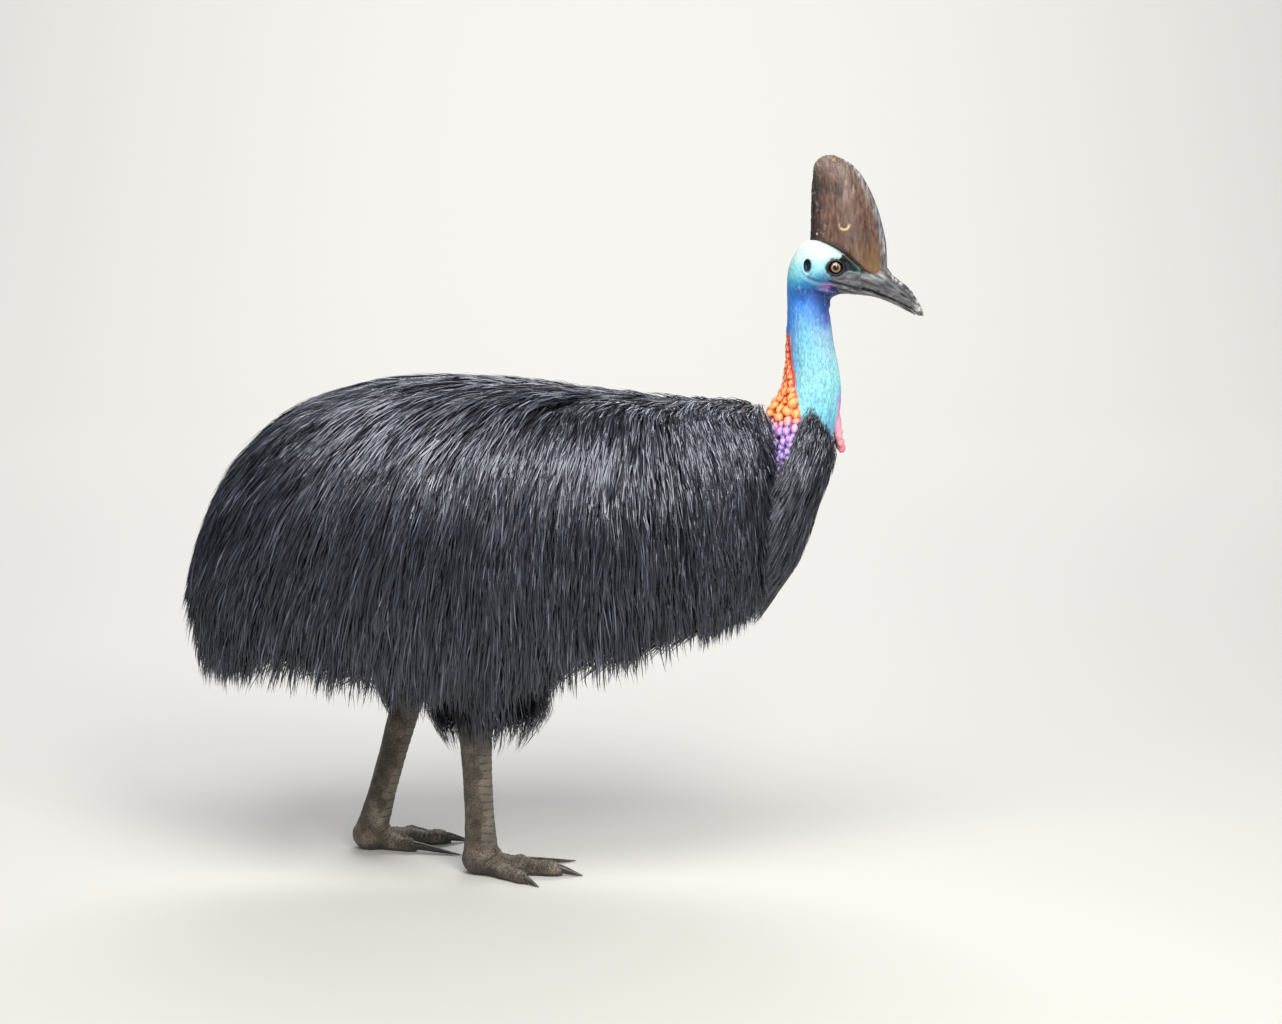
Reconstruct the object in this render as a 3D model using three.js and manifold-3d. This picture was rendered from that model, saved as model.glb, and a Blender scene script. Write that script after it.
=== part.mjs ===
// Southern cassowary, standing, at life size, as a museum shows it.
// Millimetres. +X runs towards the bill, +Y to the bird's left, +Z up. The soles stand on Z = 0.
import * as THREE from 'three';
import { mergeVertices } from 'three/addons/utils/BufferGeometryUtils.js';
import Module from 'manifold-3d';

const wasm = await Module();
wasm.setup();

// Driving sizes of the bird.
const gap = 0.3; // clear space that touching parts keep
const cut = 0.45; // what a part is grown by to cut that space into its neighbour
const sides = { right: -1, left: 1 };
const legSpread = 108; // from the middle of the body to the middle of a leg

// The body: each station is [x, half width, z] on the back line and [x, z] on the line below it.
const coatBack = [
  [396, 84, 852], [372, 122, 863], [250, 160, 876], [110, 190, 892], [-40, 208, 909], [-190, 215, 916],
  [-340, 207, 901], [-470, 185, 855], [-575, 150, 762], [-640, 115, 640], [-674, 75, 510],
];
const coatHem = [
  [390, 515], [356, 474], [272, 441], [130, 385], [-30, 345], [-190, 325],
  [-350, 345], [-480, 363], [-575, 370], [-615, 366], [-632, 362],
];
const coreBack = [ // the body under its locks, at the same stations
  [386, 62, 816], [360, 96, 832], [246, 128, 847], [110, 158, 863], [-40, 175, 879], [-186, 182, 885],
  [-328, 173, 870], [-450, 150, 826], [-534, 112, 740], [-578, 74, 640], [-594, 38, 560],
];
const coreHem = [
  [378, 560], [350, 532], [265, 502], [130, 468], [-30, 446], [-180, 438],
  [-310, 442], [-410, 458], [-480, 484], [-530, 506], [-558, 518],
];
const tailFrom = 0.7; // share of the body's length at which the tail begins
const coat = { // the locks of the body
  spacing: 102, // between the lines along which they lie, where these lie farthest apart
  pitch: 178, // from one lock to the next along its line
  length: 335,
  thickness: 7,
  widest: 0.92, // share of the room between its neighbours
  top: 5, // from the back line to the first roots
  underLength: 190, // of those under the hem's tips
  startSunk: 0.5, // how far the root goes into the body, as a share of the coat's depth
};
const neckCoat = { pitch: 105, length: 190, around: 7, width: 0.9, thickness: 4.5, depth: 11 };
const legCoat = { around: 7, length: 0.6, rows: [1, 0.72], width: 0.86, thickness: 5.5 };
const legCore = [[520, 0, 96, 40], [440, 0, 90, 39], [394, 0, 78, 38], [358, 4, 62, 37], [330, 6, 50, 38]];
const legOuter = [
  [520, -10, 110, 42], [430, -12, 122, 43], [368, 6, 136, 45], [304, 32, 118, 52], [240, 20, 64, 48],
];

// The head and the bare neck: each station is [x, z] at the back or top, [x, z] at the throat, half width.
const headStations = [
  [[424, 1033], [499, 1034], 36], [[423, 1060], [500, 1046], 36], [[423, 1087], [504, 1054], 36.5],
  [[427, 1114], [509, 1059], 37], [[437, 1136], [514, 1062], 37.5], [[453, 1154], [520, 1063], 37.5],
  [[474, 1160], [526, 1063], 37], [[499, 1152], [533, 1063], 34], [[521, 1139], [541, 1062], 29],
  [[540, 1124], [549, 1062], 24], [[552, 1113], [556, 1062], 21],
];
const neckStations = [
  [[424, 1033], [499, 1034], 36], [[424, 1000], [503, 1004], 36.5], [[426, 965], [508, 970], 37.5],
  [[428, 930], [515, 936], 39], [[428, 890], [520, 898], 42], [[420, 850], [520, 858], 46],
  [[404, 810], [514, 822], 51], [[388, 768], [506, 782], 56], [[366, 722], [490, 736], 62],
  [[338, 672], [474, 682], 68], [[308, 620], [458, 628], 74], [[280, 566], [436, 572], 78],
  [[262, 520], [404, 524], 70],
];
const carunclePatch = [ // the patch of bulbs on the nape, seen from the side
  [421, 985], [430, 930], [438, 900], [450, 872], [446, 850], [430, 818], [408, 768], [398, 748],
  [372, 760], [372, 850], [395, 890], [408, 930], [408, 985],
];
const bulbReach = 9; // how far the bulbs stand out of the neck
const featherLine = [[372, 725], [455, 857], [524, 776]]; // where the neck's feathers begin, from the side

const casqueHeight = 1309;
const casqueLevels = [ // [z, x at the back, x at the front, half width]
  [1078, 470, 604, 26], [1110, 464, 602, 27], [1145, 463, 600, 27], [1178, 463, 594, 25],
  [1210, 464, 585, 21.5], [1240, 464, 573, 17.5], [1268, 466, 557, 13.5], [1288, 468, 541, 10],
  [1301, 475, 524, 7], [casqueHeight, 488, 506, 4],
];
const gapeLine = [[497, 1087], [530, 1079], [569, 1067], [608, 1053], [640, 1037], [657, 1026]];
const upperBill = [ // [x, z on top, half width]
  [536, 1116, 25], [566, 1113, 22], [598, 1112, 18], [611, 1097, 16], [626, 1085, 13.5],
  [641, 1073, 11], [652, 1061, 8], [661, 1045, 5], [668, 1031, 2],
];
const lowerBill = [ // [x, thickness, half width]
  [503, 20, 25], [530, 16, 22], [552, 12, 19], [575, 7, 16],
  [600, 6, 13.5], [622, 6, 11], [642, 6, 8], [654, 4.5, 4],
];
const eye = { x: 507, y: 22.5, z: 1112, radius: 15.5 };
const ear = { x: 453, z: 1116, tall: 14, wide: 8 };
const nostril = { x: 632, z: 1058, long: 8, high: 2.6 };
const wattle = { top: 868, tip: 774, x: 519, y: 9, bulbs: [[537, 808, 8], [522, 794, 8.5], [536, 783, 8]] };

// The legs: the hock and the ball of the foot of each, how far that foot stands from the middle, and the way
// that it points, in degrees outwards. The tarsi lean in, so that the feet stand under the body.
const legs = {
  right: { knee: [70, 585], hock: [-142, 345], ball: [-134, 40], foot: 62, turn: 8 },
  left: { knee: [-60, 590], hock: [-268, 330], ball: [-352, 40], foot: 84, turn: 10 },
};
const toes = { // angle outwards from the foot's line, length without claw, claw length, radius at the root
  inner: { angle: -27, length: 92, claw: 92, radius: 17 },
  middle: { angle: 0, length: 152, claw: 38, radius: 19 },
  outer: { angle: 31, length: 112, claw: 30, radius: 16 },
};

const { lerp, clamp, smoothstep } = THREE.MathUtils;
const radians = THREE.MathUtils.degToRad;
const at = (x, y, z) => new THREE.Vector3(x, y, z);

// Even shares between 0 and 1 that are the same on every run.
let seed = 7;
function random() {
  seed = (seed * 1103515245 + 12345) % 2147483648;
  return seed / 2147483648;
}
const about = spread => spread * (2 * random() - 1);

// A smooth curve through points, read at a share of its stations.
function through(points) {
  const curve = new THREE.CatmullRomCurve3(points.map(p => at(...p)), false, 'centripetal');
  return share => curve.getPoint(clamp(share, 0, 1));
}

// A closed skin over rings of as many points each, with a fan of triangles over both ends.
function loft(rings) {
  const count = rings[0].length;
  const positions = rings.flat().flatMap(p => p.toArray());
  const middle = ring => ring.reduce((sum, p) => sum.add(p), at(0, 0, 0)).divideScalar(count);
  const index = [];
  for (let r = 0; r + 1 < rings.length; r++) {
    for (let i = 0; i < count; i++) {
      const [a, b] = [r * count + i, r * count + (i + 1) % count];
      index.push(a, b, b + count, a, b + count, a + count);
    }
  }
  const ends = [[rings[0], 0, true], [rings.at(-1), (rings.length - 1) * count, false]];
  for (const [ring, base, turned] of ends) {
    positions.push(...middle(ring).toArray());
    const hub = positions.length / 3 - 1;
    for (let i = 0; i < count; i++) {
      const [a, b] = [base + i, base + (i + 1) % count];
      index.push(...(turned ? [b, a, hub] : [a, b, hub]));
    }
  }
  const geometry = new THREE.BufferGeometry();
  geometry.setAttribute('position', new THREE.Float32BufferAttribute(positions, 3));
  geometry.setIndex(index);
  return geometry;
}

// A closed mesh as a solid.
function solid(geometry) {
  const bare = geometry.clone();
  bare.deleteAttribute('normal');
  bare.deleteAttribute('uv');
  const merged = mergeVertices(bare, 1e-3);
  return closed(merged.attributes.position.array, merged.index.array);
}

// A closed surface given by its corners, as a solid whose faces point outwards.
function closed(positions, index) {
  const vertProperties = new Float32Array(positions);
  const build = triVerts => new wasm.Manifold(
    new wasm.Mesh({ numProp: 3, vertProperties, triVerts: new Uint32Array(triVerts) }));
  const made = build(index);
  return made.volume() > 0 ? made : build([...index].reverse());
}

const join = solids => wasm.Manifold.union(solids);
const largest = made => made.decompose().sort((a, b) => b.volume() - a.volume())[0];

// A solid as a named mesh.
function node(name, made, material) {
  const { vertProperties, triVerts } = largest(made).getMesh();
  const geometry = new THREE.BufferGeometry();
  geometry.setAttribute('position', new THREE.BufferAttribute(new Float32Array(vertProperties), 3));
  geometry.setIndex(new THREE.BufferAttribute(new Uint32Array(triVerts), 1));
  geometry.computeVertexNormals();
  const mesh = new THREE.Mesh(geometry, material);
  mesh.name = name;
  return mesh;
}

const ball = (radius, around = 10, down = 7) => new THREE.SphereGeometry(radius, around, down);
function placed(geometry, position, rotation = [0, 0, 0], scale = [1, 1, 1]) {
  const turn = new THREE.Quaternion().setFromEuler(new THREE.Euler(...rotation));
  return geometry.applyMatrix4(new THREE.Matrix4().compose(at(...position), turn, at(...scale)));
}
const floor = solid(placed(new THREE.BoxGeometry(3000, 3000, 400), [0, 0, -200])); // all under the soles

// Flesh and coat of the body.

// A point on the body: u runs along it, v from the back (0) down to the hem (1).
const asForm = (back, hem, tuck) => (
  { back: through(back), hem: through(hem.map(([x, z]) => [x, 0, z])), tuck });
const outerForm = asForm(coatBack, coatHem, 0.14);
const coreForm = asForm(coreBack, coreHem, 0.1);
const shoulderShare = 0.58; // share of v that the rounded back takes; the rest hangs straight
function formPoint(form, u, v, side) {
  const top = form.back(u);
  const low = form.hem(u);
  const arc = Math.min(v / shoulderShare, 1) * Math.PI / 2;
  const hang = clamp((v - shoulderShare) / (1 - shoulderShare), 0, 1);
  const down = v < shoulderShare ? 0.5 * (1 - Math.cos(arc)) : lerp(0.5, 1, hang);
  const out = v < shoulderShare ? Math.sin(arc) : 1 - form.tuck * hang * hang;
  return at(lerp(top.x, low.x, down), side * top.y * out, lerp(top.z, low.z, down));
}

// A point between the core (0) and the tips of the coat (1).
const coatPoint = (u, v, depth, side) =>
  formPoint(coreForm, u, v, side).lerp(formPoint(outerForm, u, v, side), depth);

// The body's core between two shares of its length, or its coat at a depth there.
function core(from, to, rings, shift, depth = 0) {
  const steps = 7;
  return solid(loft(Array.from({ length: rings }, (_, r) => {
    const u = lerp(from, to, r / (rings - 1));
    const ring = [];
    for (let i = 0; i <= steps; i++) ring.push(coatPoint(u, i / steps, depth, -1));
    for (let i = steps; i >= 1; i--) ring.push(coatPoint(u, i / steps, depth, 1));
    if (r === 0) ring.forEach(p => { p.x -= shift; });
    return ring;
  })));
}

// Where a line along which the coat lies, starting at a share of the back, is at v.
const flow = (start, v) =>
  start + (0.03 + 0.33 * smoothstep(start, 0.02, 0.5)) * (1 - Math.max(1 - v, 0) ** 2.6);

// Such a line, from the back down and backwards to the hem or the tail's end.
function flowLine(start, side) {
  const points = [];
  let length = 0;
  for (let i = 0; i <= 80; i++) {
    const v = i / 80;
    const u = flow(start, v);
    const p = coatPoint(u, v, 1, side);
    if (i) length += p.distanceTo(points.at(-1).p);
    points.push({ u, v, p, length });
    if (u >= 1) break;
  }
  return { length, read: along => {
    const next = Math.max(1, points.findIndex(q => q.length >= Math.min(along, length)));
    const [a, b] = [points[next - 1], points[next]];
    const share = (along - a.length) / (b.length - a.length);
    return [lerp(a.u, b.u, share), lerp(a.v, b.v, share)];
  } };
}

// A lock that hangs free of the body, from a root in its core to a tip, bowed outwards in between.
const hangingLock = (root, tip, bow, width) => slim => {
  const points = lockShares.map(share =>
    at(...root).lerp(at(...tip), share).addScaledVector(at(...bow), Math.sin(Math.PI * share)));
  const widths = Array(4).fill(width * slim);
  return lockSolid(points, points.map(() => at(...bow)), widths, coat.thickness, fringeWidths);
};

// The room across the coat between two lines at v.
function roomBetween(start, other, v) {
  const here = coatPoint(flow(start, v), v, 0.7, 1);
  const onwards = coatPoint(flow(start, v + 0.01), v + 0.01, 0.7, 1).sub(here).normalize();
  return coatPoint(flow(other, v), v, 0.7, 1).sub(here).cross(onwards).length();
}

// The starts of the lines, as far apart as the widest room between them allows.
function flowStarts() {
  const starts = [0.012];
  while (starts.at(-1) < 0.95) {
    const last = starts.at(-1);
    let next = last + 0.01;
    const widest = () => Math.max(...[0, 0.15, 0.3, 0.45, 0.6, 0.75, 0.9]
      .filter(v => flow(next, v) < 1 || v === 0).map(v => roomBetween(last, next, v)));
    while (widest() < coat.spacing && next < 0.97) next += 0.002;
    starts.push(next);
  }
  return starts;
}

// A flat tapered lock along a row of points, each with its outward direction and the full width there.
const lockShares = [0, 0.15, 0.45, 0.76, 1];
const lockWidths = [0.62, 0.86, 1, 0.68];
const fringeWidths = [0.7, 0.98, 1.06, 0.76];
const lockHeights = [0.8, 1, 1, 0.75];
function lockSolid(points, outwards, width, thickness, widths = lockWidths) {
  const positions = [];
  for (let i = 0; i < 4; i++) {
    const ahead = points[i + 1].clone().sub(points[Math.max(i - 1, 0)]).normalize();
    const across = ahead.clone().cross(outwards[i]).normalize();
    const up = across.clone().cross(ahead).normalize();
    const half = width[i] * widths[i] / 2;
    positions.push(
      points[i].clone().addScaledVector(across, half).addScaledVector(up, -0.15 * thickness),
      points[i].clone().addScaledVector(up, lockHeights[i] * thickness),
      points[i].clone().addScaledVector(across, -half).addScaledVector(up, -0.15 * thickness));
  }
  positions.push(points[4]);
  const index = [0, 1, 2];
  for (let i = 0; i < 3; i++) {
    for (let k = 0; k < 3; k++) {
      const [a, b] = [3 * i + k, 3 * i + (k + 1) % 3];
      index.push(a, a + 3, b + 3, a, b + 3, b);
    }
  }
  for (let k = 0; k < 3; k++) index.push(9 + k, 12, 9 + (k + 1) % 3);
  return closed(positions.flatMap(p => p.toArray()), index);
}

// One lock of the body along its flow line, from its root to its tip.
function bodyLock({ line, root, tip, side, widths, sway, shape, depths }, slim) {
  const where = share => {
    const [u, v] = line.read(lerp(root, tip, share));
    const [near, far] = [depths[0], depths[1] * Math.sqrt(slim)];
    const [rise, past] = [share / 0.15, (share - 0.15) / 0.85];
    const depth = share < 0.15 ? lerp(-coat.startSunk, near, rise) : lerp(near, far, past);
    return [u, v, depth];
  };
  const points = [];
  const outwards = [];
  for (const share of lockShares) {
    const [u, v, depth] = where(share);
    const p = coatPoint(u, v, depth, side);
    const alongBody = coatPoint(u + 0.01, v, depth, side).sub(coatPoint(u - 0.01, v, depth, side));
    const downBody = coatPoint(u, v + 0.01, depth, side).sub(coatPoint(u, v - 0.01, depth, side));
    const out = alongBody.cross(downBody).multiplyScalar(side).normalize();
    outwards.push(out);
    points.push(p);
  }
  const across = points[4].clone().sub(points[2]).cross(outwards[3]).normalize();
  points[4].addScaledVector(across, sway);
  points[3].addScaledVector(across, sway * 0.3);
  return lockSolid(points, outwards, widths.map(value => value * slim), coat.thickness, shape);
}

// A ring round the neck or head between a back point and a throat point; fullness squares it off.
function headRing(back, throat, halfWidth, count, grow = 0, fullness = 1) {
  const [top, low] = [at(back[0], 0, back[1]), at(throat[0], 0, throat[1])];
  const middle = top.clone().lerp(low, 0.5);
  const reach = top.distanceTo(low) / 2 + grow;
  const up = top.clone().sub(low).normalize();
  return Array.from({ length: count }, (_, i) => {
    const angle = 2 * Math.PI * i / count;
    const [c, s] = [Math.cos(angle), Math.sin(angle)];
    const across = Math.sign(s) * Math.abs(s) ** fullness * (halfWidth + grow);
    return middle.clone().addScaledVector(up, c * reach).add(at(0, across, 0));
  });
}

// Stations read as smooth rings.
function ringsThrough(stations, rings, count, grow = 0, fullness = 1) {
  const backs = through(stations.map(([b]) => [b[0], 0, b[1]]));
  const throats = through(stations.map(([, t]) => [t[0], 0, t[1]]));
  const widths = through(stations.map(([, , w], i) => [i, w, 0]));
  return Array.from({ length: rings }, (_, r) => {
    const share = r / (rings - 1);
    const [b, t] = [backs(share), throats(share)];
    return headRing([b.x, b.z], [t.x, t.z], widths(share).y, count, grow, fullness);
  });
}

const neckSolid = (grow, rings = 15, around = 18) =>
  solid(loft(ringsThrough(neckStations, rings, around, grow)));

// A point on the neck: share down it, angle round it from the nape, and how far out of it.
const neckBacks = through(neckStations.map(([b]) => [b[0], 0, b[1]]));
const neckThroats = through(neckStations.map(([, t]) => [t[0], 0, t[1]]));
const neckWidths = through(neckStations.map(([, , w], i) => [i, w, 0]));
function neckPoint(share, angle, out) {
  const [back, throat] = [neckBacks(share), neckThroats(share)];
  const up = back.clone().sub(throat);
  const reach = up.length() / 2 + out;
  return back.lerp(throat, 0.5).addScaledVector(up.normalize(), Math.cos(angle) * reach)
    .add(at(0, Math.sin(angle) * (neckWidths(share).y + out), 0));
}

// How deep the feathered part of the neck lies under its tips.
const neckDepth = share => -neckCoat.depth * smoothstep(share, 0.4, 0.62);

function neckCoreSolid() {
  return solid(loft(Array.from({ length: 9 }, (_, r) => {
    const share = lerp(0.35, 1, r / 8);
    return Array.from({ length: 12 }, (_, i) => neckPoint(share, 2 * Math.PI * i / 12, neckDepth(share)));
  })));
}

// The share down the neck at which its feathers begin, at an angle round it.
function featherStart(angle) {
  for (let share = 0.3; share < 0.9; share += 0.005) {
    const p = neckPoint(share, angle, 0);
    const [a, b, c] = featherLine;
    const [from, to] = p.x < b[0] ? [a, b] : [b, c];
    if (p.z < lerp(from[1], to[1], (p.x - from[0]) / (to[0] - from[0]))) return share;
  }
  return 0.9;
}

// The locks of the feathered neck.
function neckLocks() {
  const locks = [];
  const perShare = neckPoint(0.85, Math.PI, 0).distanceTo(neckPoint(0.65, Math.PI, 0)) / 0.2;
  for (let i = 0; i < neckCoat.around; i++) {
    const angle = 2 * Math.PI * (i + 0.5) / neckCoat.around;
    const first = featherStart(angle) + 0.045;
    for (let row = 0; row < 6; row++) {
      const root = first + (row + (i % 2) * 0.45) * neckCoat.pitch / perShare;
      const tip = Math.min(root + neckCoat.length * (1 + about(0.08)) / perShare, 1.02);
      if (tip - root < 0.08) continue;
      const lean = about(3);
      locks.push(slim => {
        const points = [];
        const outwards = [];
        for (const part of lockShares) {
          const share = lerp(root, lerp(root, tip, 0.4 + 0.6 * slim), part);
          const past = (part - 0.15) / 0.85;
          const depth = part < 0.15 ? lerp(-0.6, 0.1, part / 0.15) : lerp(0.1, 1.05 * slim, past);
          const out = lerp(neckDepth(share) - 2, 0, depth);
          points.push(neckPoint(share, angle, out));
          outwards.push(neckPoint(share, angle, out + 5).sub(neckPoint(share, angle, out)).normalize());
        }
        const wide = neckPoint(lerp(root, tip, 0.4), angle, 0)
          .distanceTo(neckPoint(lerp(root, tip, 0.4), angle + 2 * Math.PI / neckCoat.around, 0));
        points[4].y += lean;
        return lockSolid(points, outwards, Array(4).fill(wide * neckCoat.width * slim), neckCoat.thickness);
      });
    }
  }
  return locks;
}

// The folds and bulbs of bare skin on the nape.
function caruncleSolid() {
  const bulbs = [];
  for (let z = 962; z > 760; z -= bulbSize(z) * 2.5) {
    let share = 0.1;
    while (neckPoint(share, 0.6, 0).z > z && share < 0.95) share += 0.004;
    const [nape, throat] = [neckPoint(share, 0, 0), neckPoint(share, Math.PI, 0)];
    const reach = ((nape.x + throat.x) / 2 - frontOfPatch(z)) / (throat.x - nape.x) * 2;
    const widest = Math.acos(clamp(reach, -0.2, 0.98));
    const count = Math.max(1, Math.round(widest * neckWidths(share).y / bulbSize(z) / 1.36));
    for (let i = 0; i < count; i++) {
      const angle = count === 1 ? 0 : lerp(-widest, widest, (i + 0.5 + about(0.12)) / count);
      const size = bulbSize(z) * (1 + about(0.18));
      const p = neckPoint(share, angle, 5.2);
      const across = neckPoint(share, angle + 0.05, 4.4).sub(neckPoint(share, angle - 0.05, 4.4)).normalize();
      const down = neckPoint(share + 0.01, angle, 4.4).sub(neckPoint(share - 0.01, angle, 4.4)).normalize();
      const out = down.clone().cross(across).normalize();
      const frame = new THREE.Matrix4().makeBasis(out.multiplyScalar(4.2 * (1 + about(0.06))),
        across.multiplyScalar(size), down.multiplyScalar(size * 1.12)).setPosition(p);
      bulbs.push(solid(new THREE.IcosahedronGeometry(1, 0).rotateX(about(1)).applyMatrix4(frame)));
    }
  }
  return join([neckSolid(3.2).intersect(patchPrism()).subtract(neckSolid(cut)), ...bulbs]);
}
const bulbSize = z => lerp(11.5, 6.5, smoothstep(z, 870, 955));

// The prism that lies above (or, turned, below) the line where the neck's feathers begin.
function sideCutter(line, below, shift) {
  const far = below ? -1000 : 1400;
  const shape = new THREE.Shape([
    ...line.map(([x, z]) => new THREE.Vector2(x, z + shift)),
    new THREE.Vector2(line.at(-1)[0] + 300, line.at(-1)[1] + shift),
    new THREE.Vector2(line.at(-1)[0] + 300, far),
    new THREE.Vector2(line[0][0] - 300, far),
    new THREE.Vector2(line[0][0] - 300, line[0][1] + shift),
  ]);
  const prism = new THREE.ExtrudeGeometry(shape, { depth: 600, bevelEnabled: false });
  return solid(prism.rotateX(Math.PI / 2).translate(0, 300, 0));
}

// The patch's front edge at a height.
function frontOfPatch(z) {
  const edge = carunclePatch.slice(0, 8);
  const i = Math.max(1, edge.findIndex(([, height]) => height <= z));
  const [a, b] = [edge[i - 1], edge[i]];
  return lerp(a[0], b[0], clamp((z - a[1]) / (b[1] - a[1]), 0, 1));
}

// The prism across the neck whose outline seen from the side is the patch of bulbs.
function patchPrism() {
  const shape = new THREE.Shape(carunclePatch.map(([x, z]) => new THREE.Vector2(x, z)));
  const prism = new THREE.ExtrudeGeometry(shape, { depth: 160, bevelEnabled: false });
  return solid(prism.rotateX(Math.PI / 2).translate(0, 80, 0));
}

// Head, bill, casque, eyes and ears.

const gapeCurve = through(gapeLine.map(([x, z]) => [x, 0, z]));
function gapeHeight(x) {
  let [low, high] = [0, 1];
  for (let i = 0; i < 24; i++) {
    const mid = (low + high) / 2;
    if (gapeCurve(mid).x < x) low = mid; else high = mid;
  }
  return gapeCurve(low).z;
}

// A slice of the bill across X: a narrow ridge on top, widest near the mouth.
function billSlice(x, top, low, halfWidth, ridge, count = 14) {
  return Array.from({ length: count }, (_, i) => {
    const angle = 2 * Math.PI * i / count;
    const height = 0.5 + 0.5 * Math.cos(angle);
    const width = halfWidth * Math.sin(angle) * lerp(1, ridge, smoothstep(height, 0.35, 1));
    return at(x, width, lerp(low, top, height));
  });
}

function upperBillSolid(grow) {
  const stations = upperBill.map(([x, top, w]) => {
    const reach = x > 665 ? -1.5 : 0;
    return billSlice(x + reach, top + grow, gapeHeight(x) + gap / 2 - grow, w + grow, 0.62);
  });
  return solid(loft(stations));
}

function lowerBillSolid(grow) {
  const stations = lowerBill.map(([x, thick, w]) => {
    const mouth = gapeHeight(x) - gap / 2;
    return billSlice(x, mouth + grow, mouth - thick - grow, w + grow, 1);
  });
  return solid(loft(stations));
}

const eyeball = (side, grow) =>
  solid(placed(ball(eye.radius + grow), [eye.x, side * eye.y, eye.z], [Math.PI / 2, 0, 0]));

// The ridge of both lids round an eye.
const lids = side => solid(placed(new THREE.TorusGeometry(13.6, 3.4, 4, 11), [eye.x, side * 32.5, eye.z],
  [Math.PI / 2, 0, side * radians(-4)], [1.1, 0.94, 1]));

const earRim = side => solid(placed(new THREE.TorusGeometry(1, 0.26, 4, 11), [ear.x, side * 36.5, ear.z],
  [Math.PI / 2, 0, side * radians(10)], [ear.wide, ear.tall, 11]));
const earCup = (side, grow) => solid(placed(ball(1, 10, 6), [ear.x, side * 38, ear.z], [0, 0, 0],
  [ear.wide * 0.72 + grow, 9, ear.tall * 0.78 + grow]));

function headSolid(grow) {
  return solid(loft(ringsThrough(headStations, 12, 18, grow, 0.9)));
}

function casqueSolid() {
  const rings = casqueLevels.map(([z, back, front, halfWidth]) => Array.from({ length: 16 }, (_, i) => {
    const angle = 2 * Math.PI * i / 16;
    const along = 0.5 - 0.5 * Math.cos(angle);
    const keel = 1 - 0.45 * smoothstep(along, 0.55, 1);
    return at(lerp(back, front, along), halfWidth * Math.sin(angle) * keel, z);
  }));
  return solid(loft(rings));
}

const nostrilCut = side => solid(placed(ball(1, 10, 6), [nostril.x, side * 12.5, nostril.z],
  [0, radians(38), 0], [nostril.long, 5, nostril.high]));

// A hanging lobe at the front of the neck.
function wattleSolid(side) {
  const rings = Array.from({ length: 6 }, (_, r) => {
    const t = r / 5;
    const z = lerp(wattle.top, wattle.tip, t);
    const full = Math.sqrt(Math.max(0.06, 1 - (2 * t - 1.12) ** 2));
    const x = wattle.x + 12 * smoothstep(t, 0, 0.9) - 3;
    return Array.from({ length: 7 }, (_, i) => {
      const angle = 2 * Math.PI * i / 7;
      const y = side * (wattle.y + 1.5 * t) + (2.5 + 4.5 * full) * Math.sin(angle);
      return at(x + (5 + 6 * full) * Math.cos(angle), y, z);
    });
  });
  const bulbs = wattle.bulbs.map(([x, z, r], i) =>
    solid(placed(
      new THREE.IcosahedronGeometry(r, 0), [x, side * (wattle.y + 2 + 2 * (i % 2)), z], [i, i, 0])));
  return join([solid(loft(rings)), ...bulbs]);
}

// Legs.

// A point on the feathered thigh: share down it, angle round it, depth from its core (0) to the tips (1).
function thighPoint(name, share, angle, depth) {
  const { knee, hock } = legs[name];
  const spot = share * (legCore.length - 1);
  const i = Math.min(Math.floor(spot), legCore.length - 2);
  const read = table => table[i].map((value, k) => lerp(value, table[i + 1][k], spot - i));
  const made = [legCore, legOuter].map(table => {
    const [z, ahead, deep, wide] = read(table);
    const x = lerp(hock[0], knee[0], clamp((z - hock[1]) / (knee[1] - hock[1]), 0, 1)) + ahead;
    return at(x + deep * Math.cos(angle), sides[name] * legSpread + wide * Math.sin(angle), z);
  });
  return made[0].lerp(made[1], depth);
}

function thighCore(name) {
  return solid(loft(Array.from({ length: 6 }, (_, r) =>
    Array.from({ length: 12 }, (_, i) => thighPoint(name, r / 5, 2 * Math.PI * i / 12, 0)))));
}

function thighLocks(name) {
  const locks = [];
  legCoat.rows.forEach((end, row) => {
    for (let i = 0; i < legCoat.around; i++) {
      const angle = 2 * Math.PI * (i + 0.5 * row + about(0.1)) / legCoat.around;
      const tip = end + about(0.03);
      const root = Math.max(tip - legCoat.length, 0.32);
      const lean = about(5);
      locks.push(slim => {
        const points = [];
        const outwards = [];
        for (const part of lockShares) {
          const share = lerp(root, lerp(root, tip, 0.75 + 0.25 * slim), part);
          const past = (part - 0.15) / 0.85;
          const depth = part < 0.15 ? lerp(-0.35, 0.1, part / 0.15) : lerp(0.1, Math.sqrt(slim), past);
          const spot = (more, turn) => thighPoint(name, share + more, angle + turn, depth);
          const around = spot(0, 0.1).sub(spot(0, -0.1));
          const down = spot(0.02, 0).sub(spot(-0.02, 0));
          points.push(spot(0, 0));
          outwards.push(down.cross(around).normalize());
        }
        const wide = thighPoint(name, lerp(root, tip, 0.5), angle, 0.5)
          .distanceTo(thighPoint(name, lerp(root, tip, 0.5), angle + 2 * Math.PI / legCoat.around, 0.5));
        points[4].x += lean;
        const widths = Array(4).fill(wide * legCoat.width * slim);
        return lockSolid(points, outwards, widths, legCoat.thickness, row ? lockWidths : fringeWidths);
      });
    }
  });
  return locks;
}

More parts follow.
